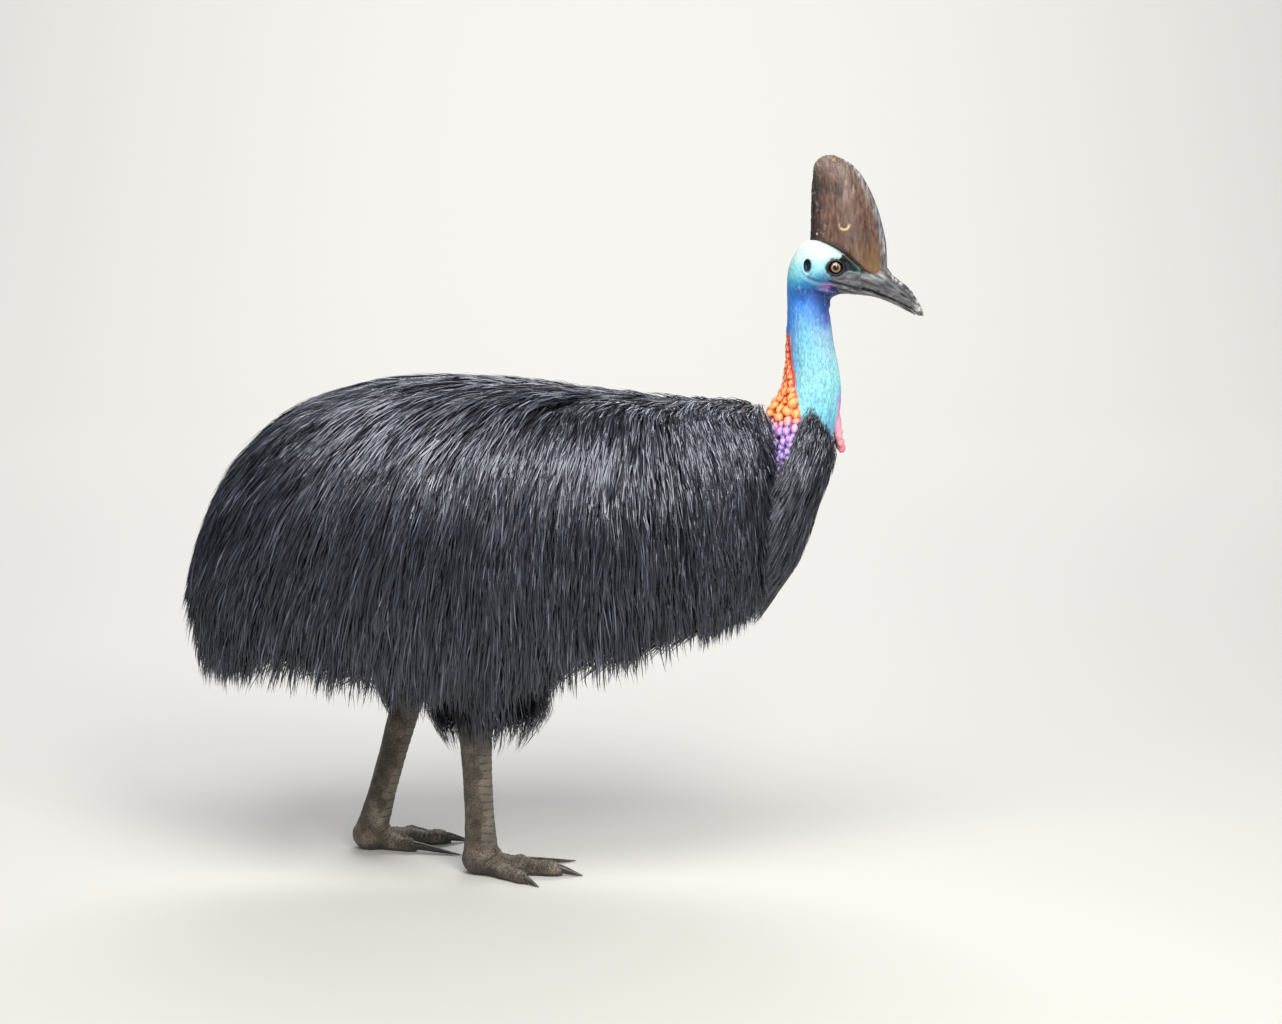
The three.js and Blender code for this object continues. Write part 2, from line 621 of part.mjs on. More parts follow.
// Locks that keep the gap to other parts. One that would cross a part, or a lock set before it, is made
// slimmer; one that still crosses a part is left out.
const nudges = [[0, 0, 0], [gap, 0, 0], [-gap, 0, 0], [0, gap, 0], [0, -gap, 0], [0, 0, gap], [0, 0, -gap]];
const slims = [1, 0.88, 0.76, 0.64, 0.52];
function settled(makers, others) {
  const crosses = (lock, other) => !lock.intersect(other).isEmpty();
  const keepsGap = lock => others.every(other => nudges.every(by => !crosses(lock.translate(by), other)));
  const kept = [];
  for (const make of makers) {
    const free = slims.map(make).filter(keepsGap);
    const lock = free.find(each => kept.every(other => !crosses(each, other))) ?? free.at(-1);
    if (lock) kept.push(lock);
  }
  return kept;
}

// Half the shank's depth from front to back, at a share of its length.
const shankDepths = through([
  [0, 31, 0], [0.09, 34, 0], [0.22, 29, 0], [0.5, 26, 0], [0.75, 26, 0], [0.9, 29, 0], [1, 33, 0],
]);
function shankDeep(t) {
  let share = t;
  for (let i = 0; i < 8; i++) share += (t - shankDepths(share).x);
  return shankDepths(share).y;
}

// The shank from the hock to the ball of the foot, with the pad that bears on the ground.
function shankSolid(name, grow = 0) {
  const { hock, ball: foot } = legs[name];
  const sideways = t => sides[name] * lerp(legSpread, legs[name].foot, t);
  const plate = 0.127; // share of the shank that one scute takes
  const plateEnds = Array.from({ length: 7 }, (_, k) => [0.11 + k * plate, 0.105 + (k + 1) * plate]);
  const shares = [0, 0.07, ...plateEnds.flat()];
  const rings = shares.map((t, r) => Array.from({ length: 10 }, (_, i) => {
    const angle = 2 * Math.PI * (i + 0.5) / 10;
    const deep = shankDeep(t) + grow;
    const raised = r > 1 && r % 2 ? 2.2 * smoothstep(Math.cos(angle), 0.2, 0.6) : 0;
    const ahead = (deep + raised) * Math.cos(angle);
    const across = (deep * 0.84 + raised) * Math.sin(angle);
    return at(lerp(hock[0], foot[0], t) + ahead, sideways(t) + across, lerp(hock[1] + grow, foot[1] - 6, t));
  }));
  const pad = solid(placed(
    ball(1, 10, 7), [foot[0] + 2, sideways(1), 26], [0, 0, 0], [38 + grow, 33 + grow, 32 + grow]));
  return grow ? join([solid(loft(rings)), pad]) : join([solid(loft(rings)), pad]).subtract(floor);
}

// A toe lies along the ground with a flat sole and a swelling under each joint.
function toeFrame(name, toe) {
  const { ball: foot, foot: aside, turn } = legs[name];
  const heading = sides[name] * radians(turn + toes[toe].angle);
  return { foot: at(foot[0], sides[name] * aside, 0), ahead: at(Math.cos(heading), Math.sin(heading), 0) };
}

function toeSolid(name, toe, grow = 0) {
  const { foot, ahead } = toeFrame(name, toe);
  const across = at(-ahead.y, ahead.x, 0);
  const { length, radius } = toes[toe];
  const rings = Array.from({ length: 7 }, (_, r) => {
    const t = r / 6;
    const swell = r % 2 ? 1.07 : 0.93;
    const size = radius * lerp(1.08, 0.66, t) * swell * (r === 6 ? 0.62 : 1) + grow;
    const middle = foot.clone().addScaledVector(ahead, lerp(16, length + grow, t));
    return Array.from({ length: 7 }, (_, i) => {
      const angle = 2 * Math.PI * (i + 0.75) / 7;
      return middle.clone().addScaledVector(across, size * 1.04 * Math.cos(angle))
        .setZ(size * (0.82 + Math.sin(angle)));
    });
  });
  return grow ? solid(loft(rings)) : solid(loft(rings)).subtract(floor);
}

function clawSolid(name, toe) {
  const { foot, ahead } = toeFrame(name, toe);
  const across = at(-ahead.y, ahead.x, 0);
  const { length, claw, radius } = toes[toe];
  const root = radius * 0.5;
  const rings = Array.from({ length: 5 }, (_, r) => {
    const t = r / 4;
    const size = root * (1 - t) ** 0.75 + 0.5;
    const bend = Math.sin(t * 1.25);
    const middle = foot.clone().addScaledVector(ahead, length - 7 + (claw + 7) * t);
    middle.z = lerp(radius * 0.62, 0.2, bend ** 1.5);
    return Array.from({ length: 5 }, (_, i) => {
      const angle = 2 * Math.PI * (i + 0.25) / 5;
      return middle.clone().addScaledVector(across, size * 0.8 * Math.cos(angle))
        .add(at(0, 0, size * Math.sin(angle)));
    });
  });
  return solid(loft(rings)).subtract(floor);
}

// Finishes.
const finish = (color, roughness) => new THREE.MeshStandardMaterial({ color, roughness, metalness: 0 });
const plumage = finish(0x15161b, 0.5);
const blueSkin = finish(0x2f8fe0, 0.6);
const headSkin = finish(0x9fe0ea, 0.6);
const redSkin = finish(0xd95a55, 0.6);
const horn = finish(0x35302e, 0.42);
const casqueHorn = finish(0x5b3d31, 0.45);
const scaledSkin = finish(0x6a6258, 0.7);
const clawHorn = finish(0x2a2725, 0.4);
const iris = finish(0xb7763f, 0.1);

const bird = new THREE.Group();

// The locks of the body, in lines that start all along the back.
const torsoCore = core(0, tailFrom, 12, 0);
const tailCore = core(tailFrom, 1, 7, gap);
const torsoLocks = [];
const tailLocks = [];
const starts = flowStarts();
function setLock(lock) {
  // A root stays on one side of the seam between body and tail.
  const { line, tip } = lock;
  const crossesSeam = () => line.read(lock.root)[0] < tailFrom + 0.004
    && line.read(lerp(lock.root, tip, 0.2))[0] > tailFrom - 0.004;
  while (crossesSeam()) lock.root += 6;
  const rooms = lockShares.map(part => lock.roomAt(line.read(lerp(lock.root, tip, part))[1]));
  // Where the lines run close, one in two or one in four carries a lock as wide as their joint room.
  const share = rooms[2] < 0.3 * coat.spacing ? 4 : rooms[2] < 0.6 * coat.spacing ? 2 : 1;
  if (tip - lock.root < 70 || lock.count % share) return;
  lock.widths = rooms.map(value => coat.widest * Math.min(value, 1.15 * rooms[2]) * share);
  lock.sway = about(0.1) * lock.widths[2];
  (line.read(lock.root)[0] > tailFrom ? tailLocks : torsoLocks).push(slim => bodyLock(lock, slim));
}
for (const side of [-1, 1]) {
  starts.slice(0, -1).forEach((start, count) => {
    const line = flowLine(start, side);
    const before = starts[Math.max(count - 1, 0)] - (count ? 0 : 0.02);
    const roomAt = v => 0.5 * (roomBetween(start, starts[count + 1], v) + roomBetween(start, before, v));
    let tip = line.length + 8 + about(8);
    for (let row = 0; tip > 90; row++) {
      const length = coat.length * (1 + about(0.07));
      const first = tip - length < coat.top;
      setLock({ line, side, count, roomAt, tip, root: first ? coat.top : tip - length,
        shape: row ? lockWidths : fringeWidths, depths: [first ? 0.7 : 0.2, 1 + about(0.04)] });
      tip -= coat.pitch * (1 + about(0.08)) * (row === 0 && count % 2 ? 0.55 : 1);
    }
    // A shorter lock fills the room between two tips at the hem, under both.
    const between = 0.5 * (start + starts[count + 1]);
    const hemLine = flowLine(between, side);
    const end = hemLine.length + about(6);
    setLock({ line: hemLine, side, count, roomAt: v => roomBetween(start, starts[count + 1], v), tip: end,
      root: end - coat.underLength, shape: fringeWidths, depths: [-0.15, 0.5] });
  });
}

// Locks between the two sides: under the breast, and at the tail's end.
for (const y of [-88, -45, 0, 45, 88]) {
  torsoLocks.push(hangingLock([372, y, 590], [362 + about(6), y * 1.1, 478 + about(8)], [10, 0, 0], 44));
  const tip = [292 + about(6), y * 1.3, 447 + about(8)];
  torsoLocks.push(hangingLock([305, y * 1.2, 545], tip, [10, 0, 0], 52));
}
for (const y of [-42, -14, 14, 42]) {
  const end = [-655 + Math.abs(y) * 0.5, y, 395 - Math.abs(y) * 0.6];
  tailLocks.push(hangingLock([-570, y * 0.6, 600], end, [-14, 0, 8], 30));
}

const collar = neckSolid(bulbReach + 6, 9, 12).trimByPlane([0, 0, 1], 725);
const tail = largest(join([tailCore, ...settled(tailLocks, [])]).subtract(torsoCore.translate(-gap, 0, 0)));
const torso = largest(join([torsoCore, ...settled(torsoLocks, [tail])])
  .subtract(core(tailFrom, 1, 7, 0, 0.03)).subtract(core(tailFrom, 1, 7, 0))
  .subtract(collar).subtract(neckSolid(cut)));
const neckCore = neckCoreSolid().intersect(sideCutter(featherLine, true, -gap));
const neckTop = neckSolid(0).intersect(sideCutter(featherLine, false, 0))
  .trimByPlane([0, 0, -1], gap - headStations[0][0][1]);
const caruncles = caruncleSolid();
const neckFeathers = join([neckCore, ...settled(neckLocks(), [torso, neckTop, caruncles])]);
bird.add(
  node('torso', torso, plumage),
  node('tail', tail, plumage),
  node('neck_lower', neckFeathers, plumage),
  node('neck_upper', neckTop, blueSkin),
  node('caruncles', caruncles, redSkin),
);

const head = headSolid(0);
const upper = upperBillSolid(0);
const lower = lowerBillSolid(0);
let headCut = join([head, lids(-1), lids(1)]).subtract(upperBillSolid(gap)).subtract(lowerBillSolid(gap));
for (const [name, side] of Object.entries(sides)) {
  headCut = headCut.subtract(eyeball(side, gap)).subtract(earCup(side, 0));
  bird.add(
    node('eye_' + name, eyeball(side, 0), iris),
    node('ear_' + name, earRim(side).subtract(headSolid(gap)), headSkin),
    node('wattle_' + name, wattleSolid(side).subtract(neckSolid(gap)), redSkin),
  );
}
bird.add(
  node('head', headCut, headSkin),
  node('bill_upper', upper.subtract(nostrilCut(-1)).subtract(nostrilCut(1)), horn),
  node('bill_lower', lower, horn),
  node('casque', casqueSolid().subtract(headSolid(gap)).subtract(upperBillSolid(gap)), casqueHorn),
);

for (const name of Object.keys(sides)) {
  const shank = shankSolid(name);
  const thighBare = thighCore(name).subtract(torsoCore.translate(0, 0, -gap)).subtract(torso)
    .subtract(shankSolid(name, cut));
  const thigh = join([largest(thighBare), ...settled(thighLocks(name), [torso, tail, shank, torsoCore])]);
  bird.add(
    node('thigh_' + name, thigh, plumage),
    node('shank_' + name, shank, scaledSkin),
  );
  for (const toe of Object.keys(toes)) {
    let toeMade = toeSolid(name, toe).subtract(shankSolid(name, cut));
    if (toe !== 'middle') toeMade = toeMade.subtract(toeSolid(name, 'middle', cut));
    bird.add(
      node(`toe_${toe}_${name}`, toeMade, scaledSkin),
      node(`claw_${toe}_${name}`, clawSolid(name, toe).subtract(toeSolid(name, toe, cut)), clawHorn),
    );
  }
}

export default bird;
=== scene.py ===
import math
import bpy
import numpy as np
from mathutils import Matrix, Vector


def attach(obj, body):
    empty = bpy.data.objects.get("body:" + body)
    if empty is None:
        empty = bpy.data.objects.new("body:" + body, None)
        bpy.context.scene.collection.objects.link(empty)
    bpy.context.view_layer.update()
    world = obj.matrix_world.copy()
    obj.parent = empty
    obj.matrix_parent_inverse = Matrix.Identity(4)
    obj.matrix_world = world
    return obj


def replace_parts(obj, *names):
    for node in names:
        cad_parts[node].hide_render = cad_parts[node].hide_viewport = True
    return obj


# A southern cassowary at life size, standing side on.
# Every table is in millimetres: x runs ahead along the bird, y to its left, z up from the floor.

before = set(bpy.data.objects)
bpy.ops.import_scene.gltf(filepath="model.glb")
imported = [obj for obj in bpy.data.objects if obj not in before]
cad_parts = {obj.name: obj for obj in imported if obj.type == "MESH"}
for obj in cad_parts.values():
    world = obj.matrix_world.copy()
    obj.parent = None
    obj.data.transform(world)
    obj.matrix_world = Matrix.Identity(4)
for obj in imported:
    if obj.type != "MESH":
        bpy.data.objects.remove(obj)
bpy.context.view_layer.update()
mm = 0.001
rng = np.random.default_rng(31)
sides = {"Right": -1, "Left": 1}


# small sums used everywhere

def smooth(x, low, high):
    t = np.clip((x - low) / (high - low), 0, 1)
    return t * t * (3 - 2 * t)


def mix(a, b, t):
    return a + (b - a) * t


def unit(v):
    return v / np.maximum(np.linalg.norm(v, axis=-1, keepdims=True), 1e-9)


def point(x, y, z):
    return np.stack(np.broadcast_arrays(*(np.asarray(value, float) for value in (x, y, z))), -1)


# a hump that is 1 where x is 0 and has faded at twice its width
def bell(x, width):
    return np.exp(-(x / width) ** 2)


# each point moved out along its normal
def lifted(points, normals, by):
    return points + normals * by[:, None]


# a smooth curve through the rows of a table, read at a share of its stations; past its ends it is straight
def through(rows, steps=40):
    rows = np.asarray(rows, float)
    row = np.vstack([2 * rows[0] - rows[1], rows, 2 * rows[-1] - rows[-2]])
    t = np.linspace(0, 1, steps, endpoint=False)[:, None]
    parts = []
    for i in range(len(rows) - 1):
        a, b, c, d = row[i:i + 4]
        e, f, g = (max(np.linalg.norm(q - p) ** 0.5, 1e-4) for p, q in ((a, b), (b, c), (c, d)))
        leave = ((b - a) / e - (c - a) / (e + f) + (c - b) / f) * f
        arrive = ((c - b) / f - (d - b) / (f + g) + (d - c) / g) * f
        parts.append((2 * t**3 - 3 * t**2 + 1) * b + (t**3 - 2 * t**2 + t) * leave
                     + (3 * t**2 - 2 * t**3) * c + (t**3 - t**2) * arrive)
    table = np.vstack(parts + [rows[-1:]])
    grid = np.linspace(0, 1, len(table))

    def read(share):
        share = np.asarray(share, float)
        inside = np.clip(share, 0, 1)
        past = (share - inside)[..., None]
        slope = np.where(past > 0, table[-1] - table[-2], table[1] - table[0]) / grid[1]
        values = np.stack([np.interp(inside, grid, table[:, k]) for k in range(table.shape[1])], -1)
        return values + past * slope
    return read


# smooth noise between -1 and 1, with lumps of a given size
lattice = rng.uniform(-1, 1, (32, 32, 32))


def noise(points, size):
    spot = np.asarray(points) / size
    cell = np.floor(spot).astype(int)
    f = spot - cell
    f = f * f * (3 - 2 * f)
    total = 0
    for i in range(8):
        corner = np.array([i & 1, i >> 1 & 1, i >> 2 & 1])
        weight = np.prod(np.where(corner, f, 1 - f), -1)
        at = (cell + corner) % 32
        total = total + weight * lattice[at[..., 0], at[..., 1], at[..., 2]]
    return total


# shells: points, four-sided faces, three-sided faces

noTris = np.zeros((0, 3), int)


# angles of one full turn
def turnOf(count):
    return np.linspace(0, 2 * np.pi, count, endpoint=False)


def loft(rings):
    r, k = rings.shape[:2]
    points = np.vstack([rings.reshape(-1, 3), rings[0].mean(0), rings[-1].mean(0)])
    i, j = np.meshgrid(np.arange(r - 1), np.arange(k), indexing="ij")
    a, b = i * k + j, i * k + (j + 1) % k
    quads = np.stack([a, b, b + k, a + k], -1).reshape(-1, 4)
    j = np.arange(k)
    n = (j + 1) % k
    near = np.stack([n, j, np.full(k, r * k)], -1)
    far = np.stack([(r - 1) * k + j, (r - 1) * k + n, np.full(k, r * k + 1)], -1)
    return facingOut(points, quads, np.vstack([near, far]))


def facingOut(points, quads, tris):
    corners = np.vstack([quads[:, [0, 1, 2]], quads[:, [0, 2, 3]], tris])
    a, b, c = (points[corners[:, k]] for k in range(3))
    if np.sum(a * np.cross(b, c)) < 0:
        quads, tris = quads[:, ::-1], tris[:, ::-1]
    return points, quads, tris


def together(shells):
    offset, points, quads, tris = 0, [], [], []
    for p, q, t in shells:
        points.append(p)
        quads.append(q + offset)
        tris.append(t + offset)
        offset += len(p)
    return np.vstack(points), np.vstack(quads), np.vstack(tris)


def blob(centre, radii, around=16, down=10, turn=None):
    a = turnOf(around)
    d = np.linspace(0.12, np.pi - 0.12, down)[:, None]
    rings = point(np.sin(d) * np.cos(a), np.sin(d) * np.sin(a), np.cos(d) + 0 * a) * np.asarray(radii)
    if turn is not None:
        rings = rings @ np.asarray(turn)
    return loft(rings + np.asarray(centre))


# a closed tube along a row of points
def tube(line, radii, around=12):
    line = np.asarray(line, float)
    radii = np.broadcast_to(radii, len(line))
    ahead = unit(np.gradient(line, axis=0))
    out = unit(np.cross(ahead, [0.3, 0.2, 1]))
    over = np.cross(ahead, out)
    a = turnOf(around)[None, :, None]
    return loft(line[:, None] + radii[:, None, None] * (np.cos(a) * out[:, None] + np.sin(a) * over[:, None]))


# an oval ring that lies against the side of the head
def hoop(centre, wide, tall, thick, lean=0.0, around=48, turns=12):
    a = turnOf(around)[:, None]
    b = turnOf(turns)[None]
    reach = thick * np.cos(b)
    out = thick * np.sin(b) + lean * np.cos(a)
    rings = point((wide + reach) * np.cos(a), out, (tall + reach) * np.sin(a))
    r, k = rings.shape[:2]
    i, j = np.meshgrid(np.arange(r), np.arange(k), indexing="ij")
    at = lambda m, n: m % r * k + n % k
    quads = np.stack([at(i, j), at(i, j + 1), at(i + 1, j + 1), at(i + 1, j)], -1).reshape(-1, 4)
    return facingOut(rings.reshape(-1, 3) + np.asarray(centre), quads, noTris)


def normalsOf(points, quads, tris):
    normals = np.zeros_like(points)
    for corners, across in ((quads, (0, 2, 1, 3)), (tris, (0, 1, 0, 2))):
        if not len(corners):
            continue
        a, b, c, d = (points[corners[:, k]] for k in across)
        face = np.cross(b - a, d - c)
        for k in range(corners.shape[1]):
            for axis in range(3):
                normals[:, axis] += np.bincount(corners[:, k], face[:, axis], len(points))
    return unit(normals)


def relaxed(points, quads, rounds, strength=0.5):
    a = quads.ravel()
    b = np.roll(quads, -1, axis=1).ravel()
    ends = np.concatenate([a, b])
    others = np.concatenate([b, a])
    count = np.maximum(np.bincount(ends, minlength=len(points)), 1)
    for _ in range(rounds):
        mean = np.stack([np.bincount(ends, points[others, k], len(points)) / count for k in range(3)], -1)
        points = mix(points, mean, strength)
    return points


def meshOf(name, points, quads, tris, corners=None, marks=None):
    mesh = bpy.data.meshes.new(name)
    mesh.vertices.add(len(points))
    mesh.vertices.foreach_set("co", (points * mm).astype(np.float32).ravel())
    mesh.loops.add(quads.size + tris.size)
    mesh.loops.foreach_set("vertex_index", np.concatenate([quads.ravel(), tris.ravel()]).astype(np.int32))
    mesh.polygons.add(len(quads) + len(tris))
    starts = np.concatenate([np.arange(len(quads)) * 4, quads.size + np.arange(len(tris)) * 3])
    mesh.polygons.foreach_set("loop_start", starts.astype(np.int32))
    mesh.polygons.foreach_set("use_smooth", np.ones(len(starts), bool))
    if corners is not None:
        mesh.uv_layers.new(name="OFBake")
        mesh.uv_layers["OFBake"].data.foreach_set("uv", corners.astype(np.float32).ravel())
    for key, values in (marks or {}).items():
        mesh.attributes.new(key, "FLOAT", "POINT").data.foreach_set("value", values.astype(np.float32))
    mesh.update(calc_edges=True)
    mesh.validate()
    return mesh


def place(mesh, *materials):
    made = bpy.data.objects.new(mesh.name, mesh)
    bpy.context.scene.collection.objects.link(made)
    for each in materials:
        mesh.materials.append(each)
    return made


# several shells grown together into one even surface, so that no seam shows between them
def fused(shells, grain, rounds=2):
    rough = place(meshOf("rough", *together(shells)))
    blend = rough.modifiers.new("blend", "REMESH")
    blend.mode = "VOXEL"
    blend.voxel_size = grain * mm
    bpy.context.view_layer.update()
    made = bpy.data.meshes.new_from_object(rough.evaluated_get(bpy.context.evaluated_depsgraph_get()))
    points = np.empty(len(made.vertices) * 3, np.float32)
    made.vertices.foreach_get("co", points)
    quads = np.empty(len(made.loops), np.int32)
    made.loops.foreach_get("vertex_index", quads)
    bpy.data.objects.remove(rough)
    points = points.reshape(-1, 3).astype(float) / mm
    quads = quads.reshape(-1, 4)
    return relaxed(points, quads, rounds), quads


# materials

def linear(code):
    parts = [int(code[i:i + 2], 16) / 255 for i in (1, 3, 5)]
    return tuple(c / 12.92 if c <= 0.04045 else ((c + 0.055) / 1.055) ** 2.4 for c in parts) + (1.0,)


# a socket takes a value, a hex colour, an output, or a node, whose first output it then takes;
# a list fills the sockets in their order
def feed(tree, node, links):
    for socket, value in links.items() if isinstance(links, dict) else enumerate(links):
        value = value.outputs[0] if isinstance(value, bpy.types.Node) else value
        if isinstance(value, bpy.types.NodeSocket):
            tree.links.new(value, node.inputs[socket])
        else:
            node.inputs[socket].default_value = linear(value) if isinstance(value, str) else value


# one node with its settings and links; a ramp is given as its stops
def add(tree, kind, links=None, stops=None, **settings):
    node = tree.nodes.new("ShaderNode" + kind)
    for key, value in settings.items():
        setattr(node, key, value)
    if stops:
        while len(node.color_ramp.elements) < len(stops):
            node.color_ramp.elements.new(0.5)
        for element, (where, colour) in zip(node.color_ramp.elements, stops):
            element.position = where
            element.color = linear(colour)
    feed(tree, node, links or {})
    return node


def surface(name, **sockets):
    made = bpy.data.materials.new(name)
    made.use_nodes = True
    tree = made.node_tree
    tree.nodes.clear()
    shader = add(tree, "BsdfPrincipled", {key.replace("_", " "): value for key, value in sockets.items()})
    add(tree, "OutputMaterial", {"Surface": shader})
    return made, tree, shader


# a colour laid over another where a mark, by its name, or a pattern says so, or by a share of what it says
def over(tree, below, above, where, share=None):
    if isinstance(where, str):
        where = mark(tree, where)
    if share is not None:
        where = add(tree, "Math", [where, share], operation="MULTIPLY")
    return add(tree, "Mix", {0: where, 6: below, 7: above}, data_type="RGBA").outputs[2]


def mark(tree, name):
    return add(tree, "Attribute", attribute_name=name).outputs["Fac"]


print("helpers ready")


# the body under its coat, and the tips of the coat

body = {
    "coatBack": [  # x, half width, z
        [389, 80, 874], [368, 116, 875], [250, 160, 878], [110, 190, 892], [-40, 208, 909], [-190, 215, 916],
        [-340, 207, 901], [-470, 185, 855], [-575, 150, 762], [-640, 115, 640], [-674, 75, 510]],
    "coatHem": [  # x, z
        [390, 515], [356, 474], [272, 441], [130, 385], [-30, 345], [-190, 325],
        [-350, 345], [-480, 363], [-575, 370], [-615, 366], [-632, 362]],
    "fleshBack": [
        [386, 62, 816], [360, 96, 832], [246, 128, 847], [110, 158, 863], [-40, 175, 879], [-186, 182, 885],
        [-328, 173, 870], [-450, 150, 826], [-534, 112, 740], [-578, 74, 640], [-594, 38, 560]],
    "fleshHem": [
        [378, 560], [350, 532], [265, 502], [130, 468], [-30, 446], [-180, 438],
        [-310, 442], [-410, 458], [-480, 484], [-530, 506], [-558, 518]],
    "shoulder": 0.58,  # share of the way down that the rounded back takes
    "tuckCoat": 0.14,
    "tuckFlesh": 0.1,
}
coatBack, fleshBack = through(body["coatBack"]), through(body["fleshBack"])
coatHem, fleshHem = (through([[x, 0, z] for x, z in body[key]]) for key in ("coatHem", "fleshHem"))


def formPoint(back, hem, tuck, u, v, side):
    top, low = back(u), hem(u)
    shoulder = body["shoulder"]
    bend = np.clip(v / shoulder, 0, 1) * np.pi / 2
    hang = np.maximum((v - shoulder) / (1 - shoulder), 0)
    down = np.where(v < shoulder, 0.5 * (1 - np.cos(bend)), 0.5 + 0.5 * hang)
    out = np.where(v < shoulder, np.sin(bend), 1 - tuck * hang**2)
    spot = mix(top, low, down[..., None])
    return point(spot[..., 0], side * top[..., 1] * out, spot[..., 2])


def coatPoint(u, v, depth, side):
    flesh = formPoint(fleshBack, fleshHem, body["tuckFlesh"], u, v, side)
    tips = formPoint(coatBack, coatHem, body["tuckCoat"], u, v, side)
    return mix(flesh, tips, np.asarray(depth)[..., None])


# the neck and head: back point, throat point and half width at each station, from the brow down to the chest

neck = {
    "brow": [
        [[552, 1113], [556, 1062], 21], [[540, 1124], [549, 1062], 24], [[521, 1139], [541, 1062], 29],
        [[499, 1152], [533, 1063], 34], [[474, 1160], [526, 1063], 37], [[453, 1154], [520, 1063], 37.5],
        [[437, 1136], [514, 1062], 37.5], [[427, 1114], [509, 1059], 37], [[423, 1087], [504, 1054], 36.5],
        [[423, 1060], [500, 1046], 36], [[424, 1033], [499, 1034], 36]],
    "stations": [
        [[424, 1033], [499, 1034], 36], [[424, 1000], [503, 1004], 36.5], [[425, 965], [508, 970], 37.5],
        [[425, 930], [515, 936], 39], [[420, 890], [520, 898], 42], [[397, 850], [520, 858], 46],
        [[389, 810], [516, 822], 51], [[378, 768], [510, 782], 56], [[362, 722], [496, 736], 62],
        [[338, 672], [474, 682], 68], [[308, 620], [458, 628], 74], [[280, 566], [436, 572], 78],
        [[262, 520], [404, 524], 70]],
    "featherLine": [  # where the feathers begin, seen from the side
        [372, 716], [403, 750], [428, 803], [442, 837], [466, 866],
        [487, 840], [502, 817], [512, 799], [524, 776]],
    "coatDepth": 11,
}


def columnOf(stations):
    backs = through([[b[0], 0, b[1]] for b, _, _ in stations])
    throats = through([[t[0], 0, t[1]] for _, t, _ in stations])
    widths = through([[i, w, 0] for i, (_, _, w) in enumerate(stations)])

    def read(share, angle, out=0.0, fullness=1.0):
        back, throat = backs(share), throats(share)
        up = back - throat
        reach = np.linalg.norm(up, axis=-1) / 2 + out
        s = np.sin(angle)
        across = np.sign(s) * np.abs(s) ** fullness * (widths(share)[..., 1] + out)
        spot = mix(back, throat, 0.5) + unit(up) * (np.cos(angle) * reach)[..., None]
        return spot + point(0, across, 0)
    return read


neckPoint = columnOf(neck["stations"])
headPoint = columnOf(neck["brow"])


def neckSunk(share):
    return -neck["coatDepth"] * smooth(share, 0.4, 0.62)


# how far a place lies below the line where the neck's feathers begin, seen from the side
def belowFeatherLine(spot):
    return np.interp(spot[..., 0], *np.transpose(neck["featherLine"])) - spot[..., 2]


# head and neck: one dense surface, grown together from all their lumps and folds

face = {
    "eye": [507, 22.5, 1112], "eyeRadius": 15.5,
    "lidRadii": [14.2, 12.4], "lidThick": 3.1, "lidOut": 33.0,
    "ear": [456.5, 1115], "earRadii": [8.6, 14.6], "earDeep": 12,
    "gape": [[497, 1087], [530, 1079], [569, 1067], [608, 1053], [640, 1037], [657, 1026]],
    "earOut": 36.0, "earThick": 2.2,
    "grain": 1.6,
    "around": 168, "along": 96,
}
gapeCurve = through(face["gape"])(np.linspace(0, 1, 200))


def gapeHeight(x):
    return np.interp(x, gapeCurve[:, 0], gapeCurve[:, 1])


# distance from the middle of the eye and of the ear in the side view, 1 at the edge of each
def eyeReach(p):
    return np.hypot((p[..., 0] - face["eye"][0]) / 1.08, (p[..., 2] - face["eye"][2]) / 0.94)


def earReach(p):
    (x, z), (wide, tall) = face["ear"], face["earRadii"]
    return np.hypot((p[..., 0] - x) / wide, (p[..., 2] - z) / tall)


def hollowed(p):
    side = np.sign(p[:, 1])
    wide = np.abs(p[:, 1])
    flank = smooth(wide, 14, 24)
    r = eyeReach(p)
    dish = mix(31.0, 60.0, smooth(r, 15, 24))  # the skin sinks towards the lids
    wide = mix(wide, np.minimum(wide, dish), flank)
    cup = 1 - smooth(earReach(p), 0.5, 1.0)
    wide = wide - flank * face["earDeep"] * cup
    return point(p[:, 0], side * wide, p[:, 2])


caruncles = {
    "patch": [  # front edge of the patch of bulbs, x and z, from its top down
        [425, 1000], [427, 968], [431, 930], [434, 905], [438, 880], [442, 855],
        [444, 838], [439, 812], [432, 790], [422, 762], [412, 738]],
    "size": [2.0, 3.0, 4.4, 6.6, 7.4, 5.8, 5.0, 3.6],  # radius of a bulb from the top down
    "sizeAt": [1000, 955, 915, 880, 850, 815, 780, 735],
    "between": [734, 1002],  # z
    "tries": 5200,
    "closest": 0.74,  # least distance of two bulbs, as a share of their radii
}


def carunclePoints():
    shares, angles = rng.uniform(0.05, 0.72, caruncles["tries"]), rng.uniform(-1.3, 1.3, caruncles["tries"])
    spots = neckPoint(shares, angles)
    front = np.interp(-spots[:, 2], *(np.transpose(caruncles["patch"])[::-1] * [[-1], [1]]))
    sizes = np.interp(-spots[:, 2], -np.array(caruncles["sizeAt"]), caruncles["size"])
    sizes = sizes * rng.uniform(0.55, 1.3, len(shares))
    low, high = caruncles["between"]
    inside = (spots[:, 0] < front - 0.45 * sizes) & (spots[:, 2] > low) & (spots[:, 2] < high)
    kept = []  # the largest first
    for i in sorted(np.flatnonzero(inside), key=lambda i: -sizes[i]):
        apart = caruncles["closest"] * (sizes[i] + sizes[kept])
        if np.all(np.sum((spots[i] - spots[kept]) ** 2, axis=1) > apart**2):
            kept.append(i)
    return [(shares[i], angles[i], sizes[i]) for i in kept]


